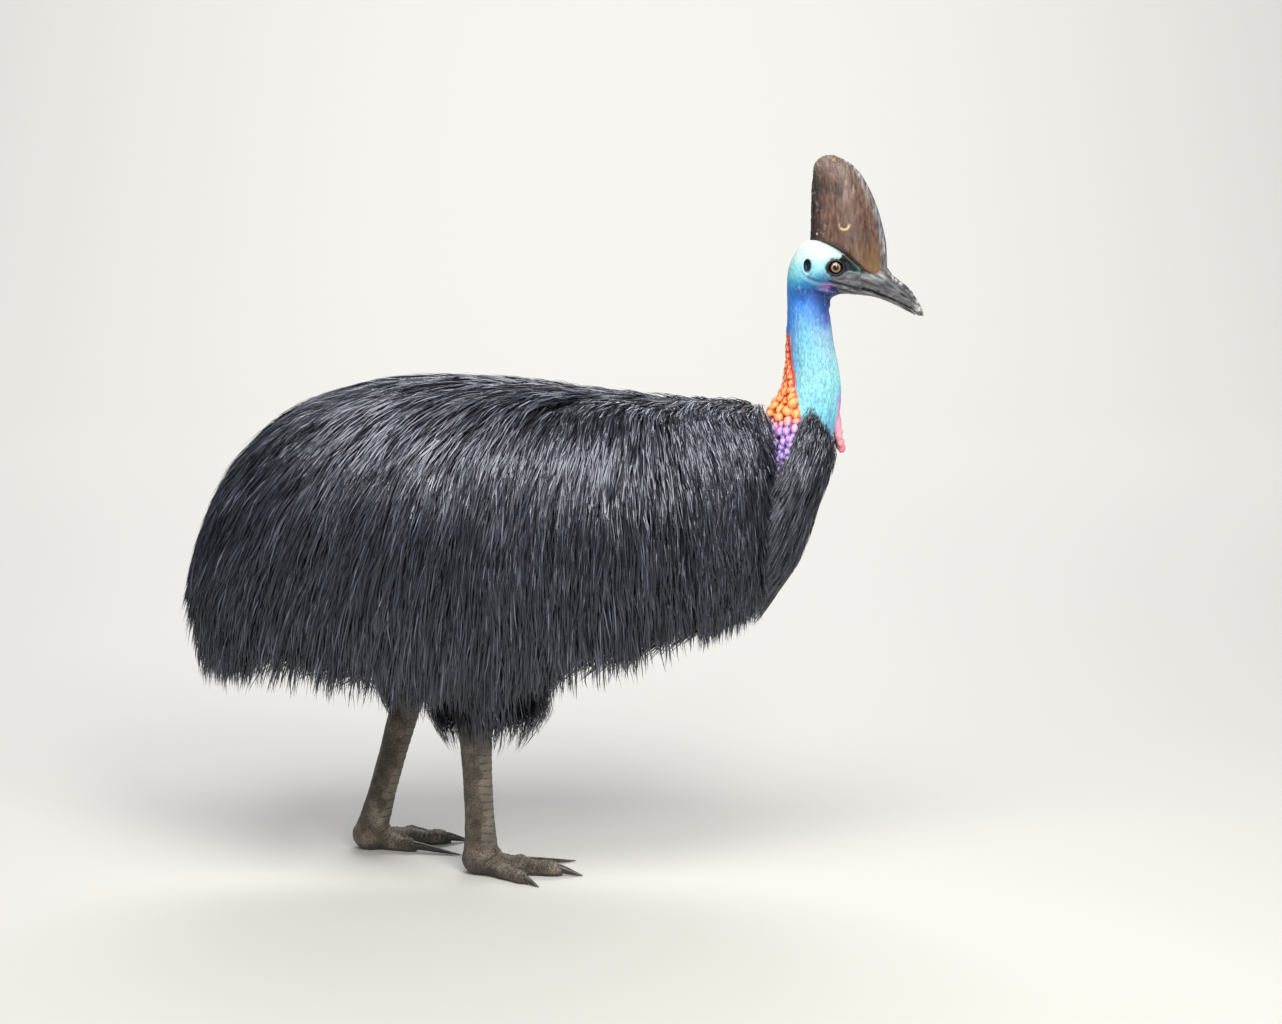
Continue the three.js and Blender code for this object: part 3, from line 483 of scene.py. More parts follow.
def caruncleShells():
    shells = []
    for share, angle, size in carunclePoints():
        here = neckPoint(share, np.array(angle))
        out = unit(neckPoint(share, np.array(angle), 5.0) - here)
        down = unit(neckPoint(share + 0.01, np.array(angle)) - here)
        turn = np.stack([out, np.cross(down, out), down])
        radii = size * np.array([0.95, rng.uniform(0.92, 1.1), rng.uniform(0.95, 1.2)])
        shells.append(blob(here + out * size * rng.uniform(0.15, 0.5), radii, 14, 9, turn))
    return shells


wattles = {
    "line": [[505, 884], [510, 864], [514, 840], [517, 815], [521, 792], [525, 776]],  # x and z, from the top
    "wide": [2.5, 5.5, 7.0, 7.6, 6.8, 4.5],
    "y": 8.0,
    "lumps": 12,
}


def wattleShells(side):
    line = through([[x, 0, z] for x, z in wattles["line"]])
    t = np.linspace(0, 1, 36)
    wide = np.interp(t, np.linspace(0, 1, 6), wattles["wide"])
    spine = line(t) + point(0, side * (wattles["y"] + 1.5 * t), 0)
    shells = [tube(spine, wide * 0.8, 16)]
    for k in range(wattles["lumps"]):
        at = 0.12 + 0.88 * (k + 0.5) / wattles["lumps"]
        reach = float(np.interp(at, t, wide)) * rng.uniform(0.62, 0.9)
        ahead, out, up = rng.uniform(-1, 4.5), rng.uniform(0, 4.5), rng.uniform(-2, 2)
        spot = line(at) + [ahead, side * (wattles["y"] + out), up]
        shells.append(blob(spot, [reach, reach * 0.9, reach * rng.uniform(0.9, 1.3)], 12, 8))
    return shells


# folds round the mouth and throat, as tubes half sunk in the skin: x and z along each, how far out, its radii
folds = {
    "upperLip": [
        [[494, 1091], [505, 1089], [520, 1085], [536, 1080], [550, 1076]], -1.0, [1.2, 2.4, 2.6, 2.4, 1.8]],
    "lowerLip": [
        [[492, 1083], [504, 1080], [520, 1076], [536, 1071], [550, 1067]], -1.2, [1.2, 2.6, 2.8, 2.6, 1.8]],
    "cheek": [[[466, 1090], [476, 1086], [486, 1083], [494, 1082]], -1.6, [1.5, 3.0, 3.2, 1.8]],
    "jaw": [
        [[462, 1078], [474, 1072], [488, 1069], [502, 1068], [516, 1066]], -2.2, [1.5, 3.4, 4.2, 3.6, 1.6]],
    "brow": [
        [[488, 1126], [498, 1131], [510, 1132], [523, 1128], [534, 1120]], -2.4, [1.2, 2.6, 3.0, 2.6, 1.2]],
}
skinOut = [[440, 470, 500, 520, 545], [35, 37, 36.5, 31.5, 24]]  # x, and how far out the skin lies there


def faceFolds(side):
    return [tube([[x, side * (np.interp(x, *skinOut) + out), z] for x, z in line], radii)
            for line, out, radii in folds.values()]


def headAndNeck():
    a = turnOf(face["around"])[None]
    head = headPoint(np.linspace(0, 1, face["along"])[:, None], a, 0.0, 0.9)
    share = np.linspace(0, 0.66, 150)[1:, None]
    lower = neckPoint(share, a, 0.0, mix(0.9, 1.0, smooth(share, 0, 0.15)))
    lower = lower + (neckPoint(share, a, neckSunk(share)) - neckPoint(share, a))
    skull, quads, tris = loft(np.concatenate([head, lower]))
    shells = [(hollowed(skull), quads, tris)]
    for side in sides.values():
        (eyeX, _, eyeZ), (earX, earZ) = face["eye"], face["ear"]
        wide, tall = face["lidRadii"]
        lid = hoop([eyeX, side * face["lidOut"], eyeZ], wide, tall, face["lidThick"], -0.9 * side)
        ear = hoop([earX, side * face["earOut"], earZ], *face["earRadii"], face["earThick"], 0.6 * side)
        shells += [lid, ear]
        shells += faceFolds(side) + wattleShells(side)
    return fused(shells + caruncleShells(), face["grain"])


headSkin, headQuads = headAndNeck()
print("head and neck:", len(headQuads), "faces")


# where each place of the head and neck lies: share from the brow down to the chest, angle from the nape

def alongColumn(p):
    a = np.array(0.0)
    shares = np.concatenate([np.linspace(0, 1, 90)[:-1], 1 + np.linspace(0, 0.7, 110)])
    backs = [headPoint(s, a) if s < 1 else neckPoint(s - 1, a) for s in shares]
    throats = [headPoint(s, a + np.pi) if s < 1 else neckPoint(s - 1, a + np.pi) for s in shares]
    backs, throats = np.array(backs), np.array(throats)
    middle = (backs + throats) / 2
    up = unit(backs - throats)
    ahead = unit(np.cross(up, [0, 1, 0]))
    best = np.full(len(p), 1e9)
    share, angle = np.zeros(len(p)), np.zeros(len(p))
    for i in range(len(shares)):
        off = p - middle[i]
        miss = np.abs(off @ ahead[i]) + 0.15 * np.linalg.norm(off, axis=1)
        near = miss < best
        best = np.where(near, miss, best)
        share = np.where(near, shares[i], share)
        angle = np.where(near, np.arctan2(off[:, 1], off @ up[i]), angle)
    return share, angle


jawFold = [[446, 462, 480, 497], [1098, 1091, 1085, 1082]]  # x, z
carving = {  # how far each fold stands out of the skin or goes into it
    "mouthSlit": 2.6, "lidRings": 0.45, "neckFine": 0.62, "neckBroad": 0.9, "throatFolds": 1.4,
    "wattleCrease": 3.2, "jawRidge": 1.7, "jawFurrow": 2.0, "scalp": 0.35,
    "socket": 21.0,  # half width of the head in the eyes' openings
}


def carved(p, normals):
    x, y, z = p.T
    wide = np.abs(y)
    side = np.sign(y)
    flank = smooth(wide, 15, 25)
    # the mouth's slit, and the slack skin behind its corner
    slit = bell(z - gapeHeight(x), 1.5) * smooth(x, 492, 500) * flank
    p = lifted(p, normals, -carving["mouthSlit"] * slit)
    # rings of fine wrinkles round the lids
    r = eyeReach(p)
    rings = smooth(r, 17, 19) * (1 - smooth(r, 22, 27)) * flank
    p = lifted(p, normals, carving["lidRings"] * rings * np.sin(r * 2.3))
    # folds down the neck, and slack folds across the throat
    share, angle = alongColumn(p)
    bare = smooth(share, 0.95, 1.08)
    fine, finer, broad = (noise(point(angle * across, share * down + shift, level), 1.0)
                          for across, down, shift, level in ((34, 26, 0, 0), (61, 44, 9, 0), (9, 9, 0, 5)))
    p = lifted(p, normals, bare * carving["neckFine"] * (fine + 0.7 * finer))
    p = lifted(p, normals, bare * carving["neckBroad"] * broad)
    throat = smooth(np.abs(angle), 2.0, 2.7) * bell(z - 1050, 24)
    p = lifted(p, normals, throat * carving["throatFolds"] * np.sin(z / 3.3 + 1.2 * noise(p, 14)))
    # the crease of violet skin that runs down to each wattle
    crease = bell(np.abs(angle) - 2.86, 0.13) * smooth(-z, -985, -900)
    p = lifted(p, normals, carving["wattleCrease"] * crease)
    # the slack fold from the ear down to the corner of the mouth
    low = z - np.interp(x, *jawFold)
    jaw = smooth(x, 446, 458) * (1 - smooth(x, 494, 502)) * flank
    fold = carving["jawRidge"] * bell(low + 7, 5.0) - carving["jawFurrow"] * bell(low, 2.6)
    p = lifted(p, normals, jaw * fold)
    # scalp: shallow dimples
    p = lifted(p, normals, carving["scalp"] * (1 - bare) * noise(p, 5.0))
    # eyes and ears stay open
    flat = np.abs(p[:, 1])
    opened = (1 - smooth(eyeReach(p), 10.6, 12.2)) * flank
    p = point(p[:, 0], side * mix(flat, np.minimum(flat, carving["socket"]), opened), p[:, 2])
    return p, share, angle


headNormals = normalsOf(headSkin, headQuads, noTris)
headSkin, headShare, headAngle = carved(headSkin, headNormals)


def headMarks(p, share, angle):
    x, y, z = p.T
    marks = {}
    flank = smooth(np.abs(y), 10, 20)
    r = eyeReach(p)
    rough = 1.2 * noise(p, 5.0) + 0.7 * noise(p, 2.6)
    # dark skin before and round the eye, and the grey horn below it
    upper = np.interp(x, [497, 506, 520, 540, 580], [1098, 1121, 1134, 1128, 1098])
    band = np.interp(x, [496, 504, 530, 560, 600], [1092, 1098, 1105, 1101, 1100])
    beneath = np.interp(x, [496, 502, 512, 522, 530], [1086, 1083, 1072, 1052, 1030])
    above = smooth(z - band + rough, -2, 2)
    mask = smooth(x + rough, 495, 502) * smooth(upper - z + rough, -2, 2) * above
    marks["dark"] = np.maximum(mask, 1 - smooth(r + rough, 16.4, 18.8)) * flank
    horn = smooth(x + rough, 497, 503) * (1 - above) * smooth(z - beneath + rough, -2, 2)
    marks["horn"] = horn * np.maximum(flank, smooth(x, 535, 545)) * (1 - marks["dark"])
    # ear, corner of the mouth, fold of the jaw; the ear's hole, the mouth's slit and the jaw's fold get
    # painted shade
    ear = earReach(p)
    slit = bell(z - gapeHeight(x), 1.6) * smooth(x, 490, 500) * flank
    marks["pit"] = np.clip((1 - smooth(ear, 0.6, 0.98)) * flank + 0.8 * slit, 0, 1)
    marks["rim"] = bell(ear - 1.15, 0.28) * flank * smooth(460 - x, -2, 8)
    marks["corner"] = np.exp(-(((x - 492) / 13) ** 2 + ((z - 1079) / 6.0) ** 2)) * flank
    fold = bell(z - np.interp(x, [446, 462, 480, 497], [1100, 1092, 1086, 1083]), 5.0)
    marks["fold"] = fold * smooth(x, 444, 456) * (1 - smooth(x, 492, 502)) * flank
    # caruncles behind, wattles before, and the down where the feathers begin
    marks["front"] = front = np.abs(angle) / np.pi
    patch = np.array(caruncles["patch"], float)
    edge = np.interp(-z, -patch[:, 1], patch[:, 0])
    bulb = smooth(edge - x + 3.5 + 2 * noise(p, 6.0), -2.5, 2.5) * smooth(-z, -996, -985)
    marks["bulb"] = bulb = bulb * (1 - smooth(front, 0.45, 0.6))
    ahead = x - neckPoint(np.clip(share - 1, 0, 1), np.full(len(p), np.pi))[:, 0]
    wattle = smooth(ahead + 2 * noise(p, 8.0), -8, -2) * smooth(-z, -905, -868)
    marks["wattle"] = np.clip(wattle, 0, 1)
    marks["down"] = smooth(belowFeatherLine(p) + 4 * noise(p, 9.0), 0, 14) * (1 - bulb) * (1 - wattle)
    marks["relief"] = reliefOf(p)
    return marks


# how far each place stands above the places near it, for the painted shade in hollows and the painted
# highlights on bosses
def reliefOf(p):
    smoothAway = relaxed(p, headQuads, 6, 0.6)
    return np.clip(0.5 + 0.9 * np.sum((p - smoothAway) * normalsOf(p, headQuads, noTris), axis=1), 0, 1)


# legs

legs = {
    "Right": {"knee": [70, 585], "hock": [-142, 345], "ball": [-134, 40], "foot": 62, "turn": 8},
    "Left": {"knee": [-60, 590], "hock": [-268, 330], "ball": [-352, 40], "foot": 84, "turn": 10},
    "spread": 108,
    "depths": [[0, 31], [0.09, 34], [0.22, 29], [0.5, 26], [0.75, 26], [0.9, 29], [1, 33]],
    "plate": 15.5, "plateOut": 1.9,  # height of a scute on the front of the shank, and how far it stands out
    "toePlate": 8.5, "toePlateOut": 1.3,
    "seamDeep": 0.9,
    "shankAbove": [48, 66],  # z between which the foot's skin turns to the shank's
    "grain": 2.2,
}
toes = {  # angle outwards, length without claw, claw length, radius at the root
    "Inner": [-27, 92, 92, 17],
    "Middle": [0, 152, 38, 19],
    "Outer": [31, 112, 30, 16],
}


def toeLine(name, toe):
    leg = legs[name]
    heading = sides[name] * math.radians(leg["turn"] + toes[toe][0])
    root = np.array([leg["ball"][0], sides[name] * leg["foot"], 0.0])
    ahead = np.array([math.cos(heading), math.sin(heading), 0.0])
    return root, ahead, np.array([-ahead[1], ahead[0], 0.0])


def toeShell(name, toe):
    root, ahead, across = toeLine(name, toe)
    _, length, _, radius = toes[toe]
    t = np.linspace(0, 1, 40)[:, None]
    joints = 0.5 + 0.5 * np.cos(2 * np.pi * (t * 3.0 + 0.5))
    blunt = np.sqrt(np.clip(1.0 - smooth(t, 0.9, 1.0) * 0.5, 0.05, 1))
    size = radius * mix(1.08, 0.66, t) * (0.93 + 0.14 * joints) * blunt
    a = turnOf(28)[None]
    middle = root + ahead * mix(4, length, t[..., None])
    rings = middle + across * (size * 1.04 * np.cos(a))[..., None]
    rings[..., 2] = size * (0.82 + np.sin(a))
    return loft(rings)


def shankCentre(name, t):
    leg = legs[name]
    return point(mix(leg["hock"][0], leg["ball"][0], t), sides[name] * mix(legs["spread"], leg["foot"], t),
                 mix(leg["hock"][1], leg["ball"][1] - 6, t))


def footSkin(name):
    leg = legs[name]
    t = np.linspace(-0.04, 1, 90)[:, None]
    deep = np.interp(t, *np.array(legs["depths"]).T)
    a = turnOf(64)[None]
    squared = np.abs(np.cos(a)) ** 0.9 * np.sign(np.cos(a))
    rings = shankCentre(name, t + 0 * a)
    rings[..., 0] += deep * squared
    rings[..., 1] += deep * 0.84 * np.sin(a)
    ball = blob([leg["ball"][0] + 2, sides[name] * leg["foot"], 26], [38, 33, 32], 32, 20)
    shells = [loft(rings), ball] + [toeShell(name, toe) for toe in toes]
    for toe in toes:  # webs of slack skin between the toes' roots
        root, ahead, _ = toeLine(name, toe)
        shells.append(blob(root + ahead * 30 + [0, 0, 17], [26, 20, 15], 20, 12))
    p, quads = fused(shells, legs["grain"], 4)
    normals = normalsOf(p, quads, noTris)
    # scutes down the front of the shank
    share = np.clip((leg["hock"][1] - p[:, 2]) / (leg["hock"][1] - leg["ball"][1] + 6), 0, 1)
    centre = shankCentre(name, share)
    around = np.arctan2(p[:, 1] - centre[:, 1], p[:, 0] - centre[:, 0])
    onShank = smooth(p[:, 2], *legs["shankAbove"])
    front = smooth(np.cos(around + 0.5 * noise(p, 18)), 0.25, 0.5) * onShank
    split = np.where(np.abs(around) < 0.12, 0.0, np.sign(around))
    row = (p[:, 2] + 3.5 * split + 2.2 * np.cos(around * 2) + 1.5 * noise(p, 22)) / legs["plate"]
    step = row - np.floor(row)
    plate = smooth(step, 0.0, 0.12) * (1 - 0.45 * smooth(step, 0.12, 1.0))
    groove = (1 - smooth(step, 0.0, 0.1)) + smooth(step, 0.93, 1.0)
    seam = bell(around, 0.05)
    lift = front * (legs["plateOut"] * plate - legs["seamDeep"] * seam)
    grooves = front * np.clip(groove + 0.8 * seam, 0, 1)
    # plates across the top of each toe
    nearest = np.full(len(p), 1e9)
    toeLift, toeGroove = np.zeros(len(p)), np.zeros(len(p))
    for toe in toes:
        root, ahead, across = toeLine(name, toe)
        along, aside = (p - root) @ ahead, np.abs((p - root) @ across)
        ownPart = (aside < nearest) & (along > 0)
        nearest = np.where(ownPart, aside, nearest)
        bent = along + 2.5 * (aside / 12) ** 2
        step = bent / legs["toePlate"] - np.floor(bent / legs["toePlate"])
        above = smooth(normals[:, 2], -0.05, 0.35) * smooth(along, 14, 26) * (1 - onShank)
        raised = above * legs["toePlateOut"] * smooth(step, 0, 0.16) * (1 - 0.4 * smooth(step, 0.2, 1))
        toeLift = np.where(ownPart, raised, toeLift)
        toeGroove = np.where(ownPart, above * ((1 - smooth(step, 0, 0.12)) + smooth(step, 0.9, 1)), toeGroove)
    grain = 0.5 * noise(p, 4.2) * (1 - front)
    p = lifted(p, normals, lift + toeLift + grain)
    p[:, 2] = np.maximum(p[:, 2], 0.0)
    sole = smooth(-normals[:, 2], 0.3, 0.7)
    marks = {"groove": np.clip(grooves + toeGroove, 0, 1), "front": front, "sole": sole}
    return p, quads, normals, marks, around


# thighs: under the coat and at its tips, each row height, how far ahead of the bone, half depth, half width

thighCoat = {
    "strands": 2900, "perLock": 5, "length": 0.42, "width": 2.4,
    "tips": [
        [520, -10, 110, 42], [430, -12, 122, 43], [368, 6, 136, 45], [304, 32, 118, 52], [240, 20, 64, 48]],
    "flesh": [[520, 0, 96, 40], [440, 0, 90, 39], [394, 0, 78, 38], [358, 4, 62, 37], [330, 6, 50, 38]],
    "past": 140,  # how far a whole share past the last row lies below it
    "tone": [0.45, 0.12, 0.12],
}


def thighPoint(name, share, angle, depth):
    leg = legs[name]
    made = []
    for key in ("flesh", "tips"):
        rows = np.array(thighCoat[key], float)
        z, ahead, deep, wide = (np.interp(share * 4, range(5), rows[:, k]) for k in range(4))
        z = z - np.maximum(share - 1, 0) * thighCoat["past"]
        lean = np.clip((z - leg["hock"][1]) / (leg["knee"][1] - leg["hock"][1]), 0, 1)
        x = mix(leg["hock"][0], leg["knee"][0], lean) + ahead
        made.append(point(x + deep * np.cos(angle), sides[name] * legs["spread"] + wide * np.sin(angle), z))
    return mix(made[0], made[1], np.asarray(depth)[..., None])


def thighRings(name, count=24, around=40):
    share = np.linspace(0, 1, count)[:, None] + np.zeros(around)
    return thighPoint(name, share, turnOf(around)[None], 0.0)


# one skin over the whole bird; each part of it has its own field of the unwrap: left, bottom, width, height

fields = {
    "head": [0.0, 0.0, 0.6, 1.0],
    "Right": [0.61, 0.5, 0.33, 0.5],
    "Left": [0.61, 0.0, 0.33, 0.5],
    "hidden": [0.945, 0.0, 0.05, 1.0],
}


lastShare = 1.72  # of the head and neck in the unwrap


# u runs once round a part, and that turn takes a given share of the field's width
def cornersIn(field, u, v, faces, turn=0.96):
    left, bottom, wide, high = field
    u, v = u[faces], v[faces]
    u = np.where((np.ptp(u, axis=1) > 0.5)[:, None] & (u < 0.5), u + 1, u) * turn
    return np.stack([left + wide * (0.01 + 0.98 * u), bottom + high * (0.01 + 0.98 * v)], -1).reshape(-1, 2)


# the unwrap of a lofted piece: its rings' points first, its two end points last
def ringCorners(u, v, quads, tris):
    u, v = np.append(u, [0.5, 0.5]), np.append(v, [0, 1])
    return np.concatenate([cornersIn([0, 0, 1, 1], u, v, faces) for faces in (quads, tris)])


# a leg's shank is unrolled in the left half of its field; the foot's top and sole lie flat in the right half
legField = {"turn": 0.44, "high": 360, "footBelow": 62, "soleFacing": -0.3,
            "behind": 50, "long": 230, "aside": 90, "wide": 180,
            "left": 0.5, "right": 0.48, "topAt": 0.02, "soleAt": 0.51, "each": 0.45}


def legCorners(name, p, quads, normals, around):
    left, bottom, wide, high = fields[name]
    up = np.clip(p[:, 2] / legField["high"], 0, 1)
    shank = cornersIn(fields[name], around / (2 * np.pi) + 0.5, up, quads, legField["turn"])
    x = (p[quads][..., 0].ravel() - legs[name]["ball"][0] + legField["behind"]) / legField["long"]
    y = (p[quads][..., 1].ravel() - sides[name] * legs[name]["foot"] + legField["aside"]) / legField["wide"]
    x = left + wide * (legField["left"] + legField["right"] * x)
    top, sole = (np.stack([x, bottom + high * (legField[at] + legField["each"] * y)], -1)
                 for at in ("topAt", "soleAt"))
    onFoot = np.repeat(p[quads].mean(1)[:, 2] < legField["footBelow"], 4)[:, None]
    below = np.repeat(normals[quads].mean(1)[:, 2] < legField["soleFacing"], 4)[:, None]
    return np.where(onFoot, np.where(below, sole, top), shank)


# closed shells under the coat: torso, foot of the neck and thighs
hiddenShells = {"along": 80, "down": 34, "neckFrom": 0.5, "neckRows": 30, "neckAround": 72, "neckSunk": 1.5}


def shellsUnderCoat():
    u = np.linspace(0, 1, hiddenShells["along"])[:, None]
    v = np.linspace(0, 1, hiddenShells["down"])
    down = np.concatenate([v, v[-2:0:-1]])
    side = np.repeat([-1.0, 1.0], [len(v), len(v) - 2])
    torso = coatPoint(u + 0 * down, down + 0 * u, 0 * (u + down), side + 0 * u)
    a = turnOf(hiddenShells["neckAround"])[None]
    share = np.linspace(hiddenShells["neckFrom"], 1, hiddenShells["neckRows"])[:, None]
    under = neckPoint(share + 0 * a, a + 0 * share, neckSunk(share) - hiddenShells["neckSunk"])
    return [loft(rings) for rings in (torso, under, thighRings("Right"), thighRings("Left"))]


# each part: points, four-sided and three-sided faces, its corners in the unwrap, its marks, its material
def buildSkin(materials):
    marks = headMarks(headSkin, headShare, headAngle)
    turned = headAngle / (2 * np.pi) + 0.5
    corners = cornersIn(fields["head"], turned, headShare / lastShare, headQuads)
    parts = [(headSkin, headQuads, noTris, corners, marks, 0)]
    for name in sides:
        p, quads, normals, legMarks, around = footSkin(name)
        parts.append((p, quads, noTris, legCorners(name, p, quads, normals, around), legMarks, 1))
    hidden = shellsUnderCoat()
    for k, (points, quads, tris) in enumerate(hidden):
        flat = (points - points.min(0)) / np.ptp(points, axis=0)
        flat = np.stack([0.02 + 0.96 * flat[:, 0], (k + 0.02 + 0.96 * flat[:, 2]) / len(hidden)], -1)
        flat = flat[np.concatenate([quads.ravel(), tris.ravel()])]
        corners = fields["hidden"][:2] + flat * fields["hidden"][2:]
        parts.append((points, quads, tris, corners, {}, 2))
    points, quads, tris = together([part[:3] for part in parts])
    marks = {key: np.concatenate([part[4].get(key, np.zeros(len(part[0]))) for part in parts])
             for key in parts[0][4] | parts[1][4]}
    quadCorners = np.concatenate([part[3][:part[1].size] for part in parts])
    trisCorners = np.concatenate([part[3][part[1].size:] for part in parts])
    mesh = meshOf("skin", points, quads, tris, np.concatenate([quadCorners, trisCorners]), marks)
    kinds = [np.full(len(part[k]), part[5]) for k in (1, 2) for part in parts]
    piece = place(mesh, *materials)
    mesh.polygons.foreach_set("material_index", np.concatenate(kinds).astype(np.int32))
    return piece


# living skin: thin and faintly oily, so its colour is deep and its gloss soft and broken by fine wrinkles
def bareSkin():
    made, tree, shader = surface("bareSkinWrinkled", Roughness=0.46, IOR=1.4, Subsurface_Weight=0.12,
                                 Subsurface_Scale=0.004, Subsurface_Radius=(1.0, 0.55, 0.5))
    spot = add(tree, "TexCoord").outputs["Object"]
    height = add(tree, "SeparateXYZ", [spot]).outputs["Z"]
    wobble = add(tree, "TexNoise", {"Vector": spot, "Scale": 55.0, "Detail": 3.0})
    shifted = add(tree, "Math", [wobble, 0.03, height], operation="MULTIPLY_ADD")
    share = add(tree, "MapRange", [shifted, 0.795, 1.185])
    # tints by height: the dark blue band that flankTint and throatTint carry just under the jaw is partly the
    # skin's own deep blue and partly painted shade under the jaw
    flankTint = add(tree, "ValToRGB", [share], stops=[
        (0.0, "#4f90cc"), (0.1, "#6ab3d0"), (0.21, "#85ccd4"), (0.33, "#91cbcb"), (0.44, "#84c8d3"),
        (0.56, "#79bbd4"), (0.67, "#4888da"), (0.71, "#2a5ca6"), (0.745, "#1a3f7c"), (0.785, "#277ca4"),
        (0.84, "#7fbcc8"), (0.9, "#abc6c6"), (0.95, "#b6c2c2")])
    napeTint = add(tree, "ValToRGB", [share], stops=[
        (0.0, "#3c2a86"), (0.2, "#4474be"), (0.44, "#5f98d2"), (0.56, "#4283d2"), (0.68, "#3980d4"),
        (0.74, "#3078ba"), (0.795, "#489cb8"), (0.84, "#7cbcc0"), (0.89, "#abc6c6"), (0.95, "#b6c2c2")])
    throatTint = add(tree, "ValToRGB", [share], stops=[
        (0.0, "#8a70b8"), (0.1, "#6ab3d0"), (0.21, "#85ccd4"), (0.33, "#8fd2d5"), (0.44, "#9acdd3"),
        (0.55, "#8eb3d1"), (0.61, "#5068b0"), (0.67, "#223576"), (0.74, "#191d4e"), (0.8, "#222c58")])
    front = mark(tree, "front")
    toFlank = add(tree, "MapRange", [front, 0.1, 0.36], interpolation_type="SMOOTHSTEP")
    toThroat = add(tree, "MapRange", [front, 0.4, 0.82], interpolation_type="SMOOTHSTEP")
    tint = over(tree, napeTint, flankTint, toFlank)
    tint = over(tree, tint, throatTint, toThroat)
    # paler warts of about 3 mm, drawn out down the neck, with darker skin between them
    drawn = add(tree, "Mapping", {"Vector": spot, "Scale": (1.0, 1.0, 0.42)})
    warts = add(tree, "TexVoronoi", {"Vector": drawn, "Scale": 330.0, "Randomness": 1.0})
    streaks = add(tree, "TexNoise", {"Vector": drawn, "Scale": 150.0, "Detail": 5.0, "Roughness": 0.65})
    between = add(tree, "MapRange", [warts, 0.42, 0.78, 0.0, 0.42])
    below = add(tree, "MapRange", [height, 1.1, 1.06])
    tint = over(tree, tint, "#2560ac", between, below)
    lighter = add(tree, "MapRange", [streaks, 0.56, 0.76, 0.0, 0.38])
    tint = over(tree, tint, "#c4eaf6", lighter)
    # the fold's dark teal is painted shade in the crease of the jaw; the corner's violet and the rim's pale
    # blue are the skin's own colours
    for name, tone, most in (("fold", "#174f6a", 0.7), ("corner", "#8f5c9c", 0.7), ("rim", "#a9dcea", None)):
        tint = over(tree, tint, tone, name, most)
    along = add(tree, "MapRange", [shifted, 0.785, 0.905])
    wattleTint = add(tree, "ValToRGB", [along], stops=[
        (0.0, "#d87a86"), (0.3, "#e09aa8"), (0.6, "#d69ab4"), (0.82, "#a888cc"), (1.0, "#7f94dc")])
    tint = over(tree, tint, wattleTint, "wattle")
    tint = over(tree, tint, "#0b0c12", "down")
    along = add(tree, "MapRange", [shifted, 0.765, 1.01])
    bulbTint = add(tree, "ValToRGB", [along], stops=[
        (0.0, "#5c48a4"), (0.14, "#7a5cb8"), (0.27, "#9a6cba"), (0.34, "#bd7aa6"), (0.39, "#e87850"),
        (0.45, "#f58232"), (0.52, "#ef6626"), (0.66, "#e25232"), (0.82, "#d4443a"), (1.0, "#b5303a")])
    # painted highlights: the bulbs' raised tops are lightened, pale lilac low down and pale peach higher up
    paintedHighlightMask = add(tree, "MapRange", [mark(tree, "relief"), 0.45, 0.85, 0.0, 0.7])
    # painted shade: the gaps between the bulbs are darkened, dark purple low down and dark red higher up
    sunk = add(tree, "MapRange", [mark(tree, "relief"), 0.45, 0.05, 0.0, 0.75])
    level = add(tree, "MapRange", [shifted, 0.835, 0.86])
    paintedHighlightTint = over(tree, "#d2bcea", "#ffc084", level)
    paintedGapShade = over(tree, "#3a2258", "#8c2412", level)
    bulbs = over(tree, over(tree, bulbTint, paintedHighlightTint, paintedHighlightMask), paintedGapShade, sunk)
    tint = over(tree, tint, bulbs, "bulb")
    drawnOut = add(tree, "Mapping", {"Vector": spot, "Scale": (0.14, 1.0, 1.0)})
    layers = add(tree, "TexNoise", {"Vector": drawnOut, "Scale": 190.0, "Detail": 4.0})
    for name, pattern, stops in (
            ("horn", layers, [(0.3, "#3a3a3d"), (0.5, "#57575b"), (0.7, "#78777b")]),
            ("dark", streaks, [(0.35, "#0d0f11"), (0.6, "#212627"), (0.75, "#3d5250")])):
        tint = over(tree, tint, add(tree, "ValToRGB", [pattern], stops), name)
    # painted shade in the ear's hole and the mouth's slit
    tint = over(tree, tint, "#1c2633", "pit")
    feed(tree, shader, {"Base Color": tint})
    pores = add(tree, "TexNoise", {"Vector": drawn, "Scale": 620.0, "Detail": 3.0})
    first = add(tree, "Bump", {"Height": warts, "Strength": 0.5, "Distance": 0.0011}, invert=True)
    second = add(tree, "Bump", {"Height": pores, "Strength": 0.35, "Distance": 0.0005, "Normal": first})
    feed(tree, shader, {"Normal": second})
    return made


# horny scales of the leg: dry, worn, dull grey brown, darker in the lines and grooves between the plates
def scaledSkin():
    made, tree, shader = surface("legScalesWorn", Roughness=0.6, IOR=1.5)
    spot = add(tree, "TexCoord").outputs["Object"]
    cells = add(tree, "TexVoronoi", {"Vector": spot, "Scale": 190.0}, feature="DISTANCE_TO_EDGE")
    blotch = add(tree, "TexNoise", {"Vector": spot, "Scale": 34.0, "Detail": 5.0})
    tint = add(tree, "ValToRGB", [blotch], stops=[
        (0.3, "#3b342c"), (0.48, "#5a5147"), (0.62, "#776b5c"), (0.75, "#93877a")])
    tint = over(tree, tint, "#8d8578", "front", 0.35)
    line = add(tree, "MapRange", [cells, 0.11, 0.0, 0.0, 0.8])
    side = add(tree, "MapRange", [mark(tree, "front"), 0.5, 0.1])
    tint = over(tree, tint, "#1e1a16", line, side)
    tint = over(tree, tint, "#1c1814", "groove")
    tint = over(tree, tint, "#3a332b", "sole", 0.7)
    feed(tree, shader, {"Base Color": tint})
    raised = add(tree, "MapRange", [cells, 0.0, 0.16])
    first = add(tree, "Bump", {"Height": raised, "Strength": 0.75, "Distance": 0.0012})
    feed(tree, shader, {"Normal": first})
    return made


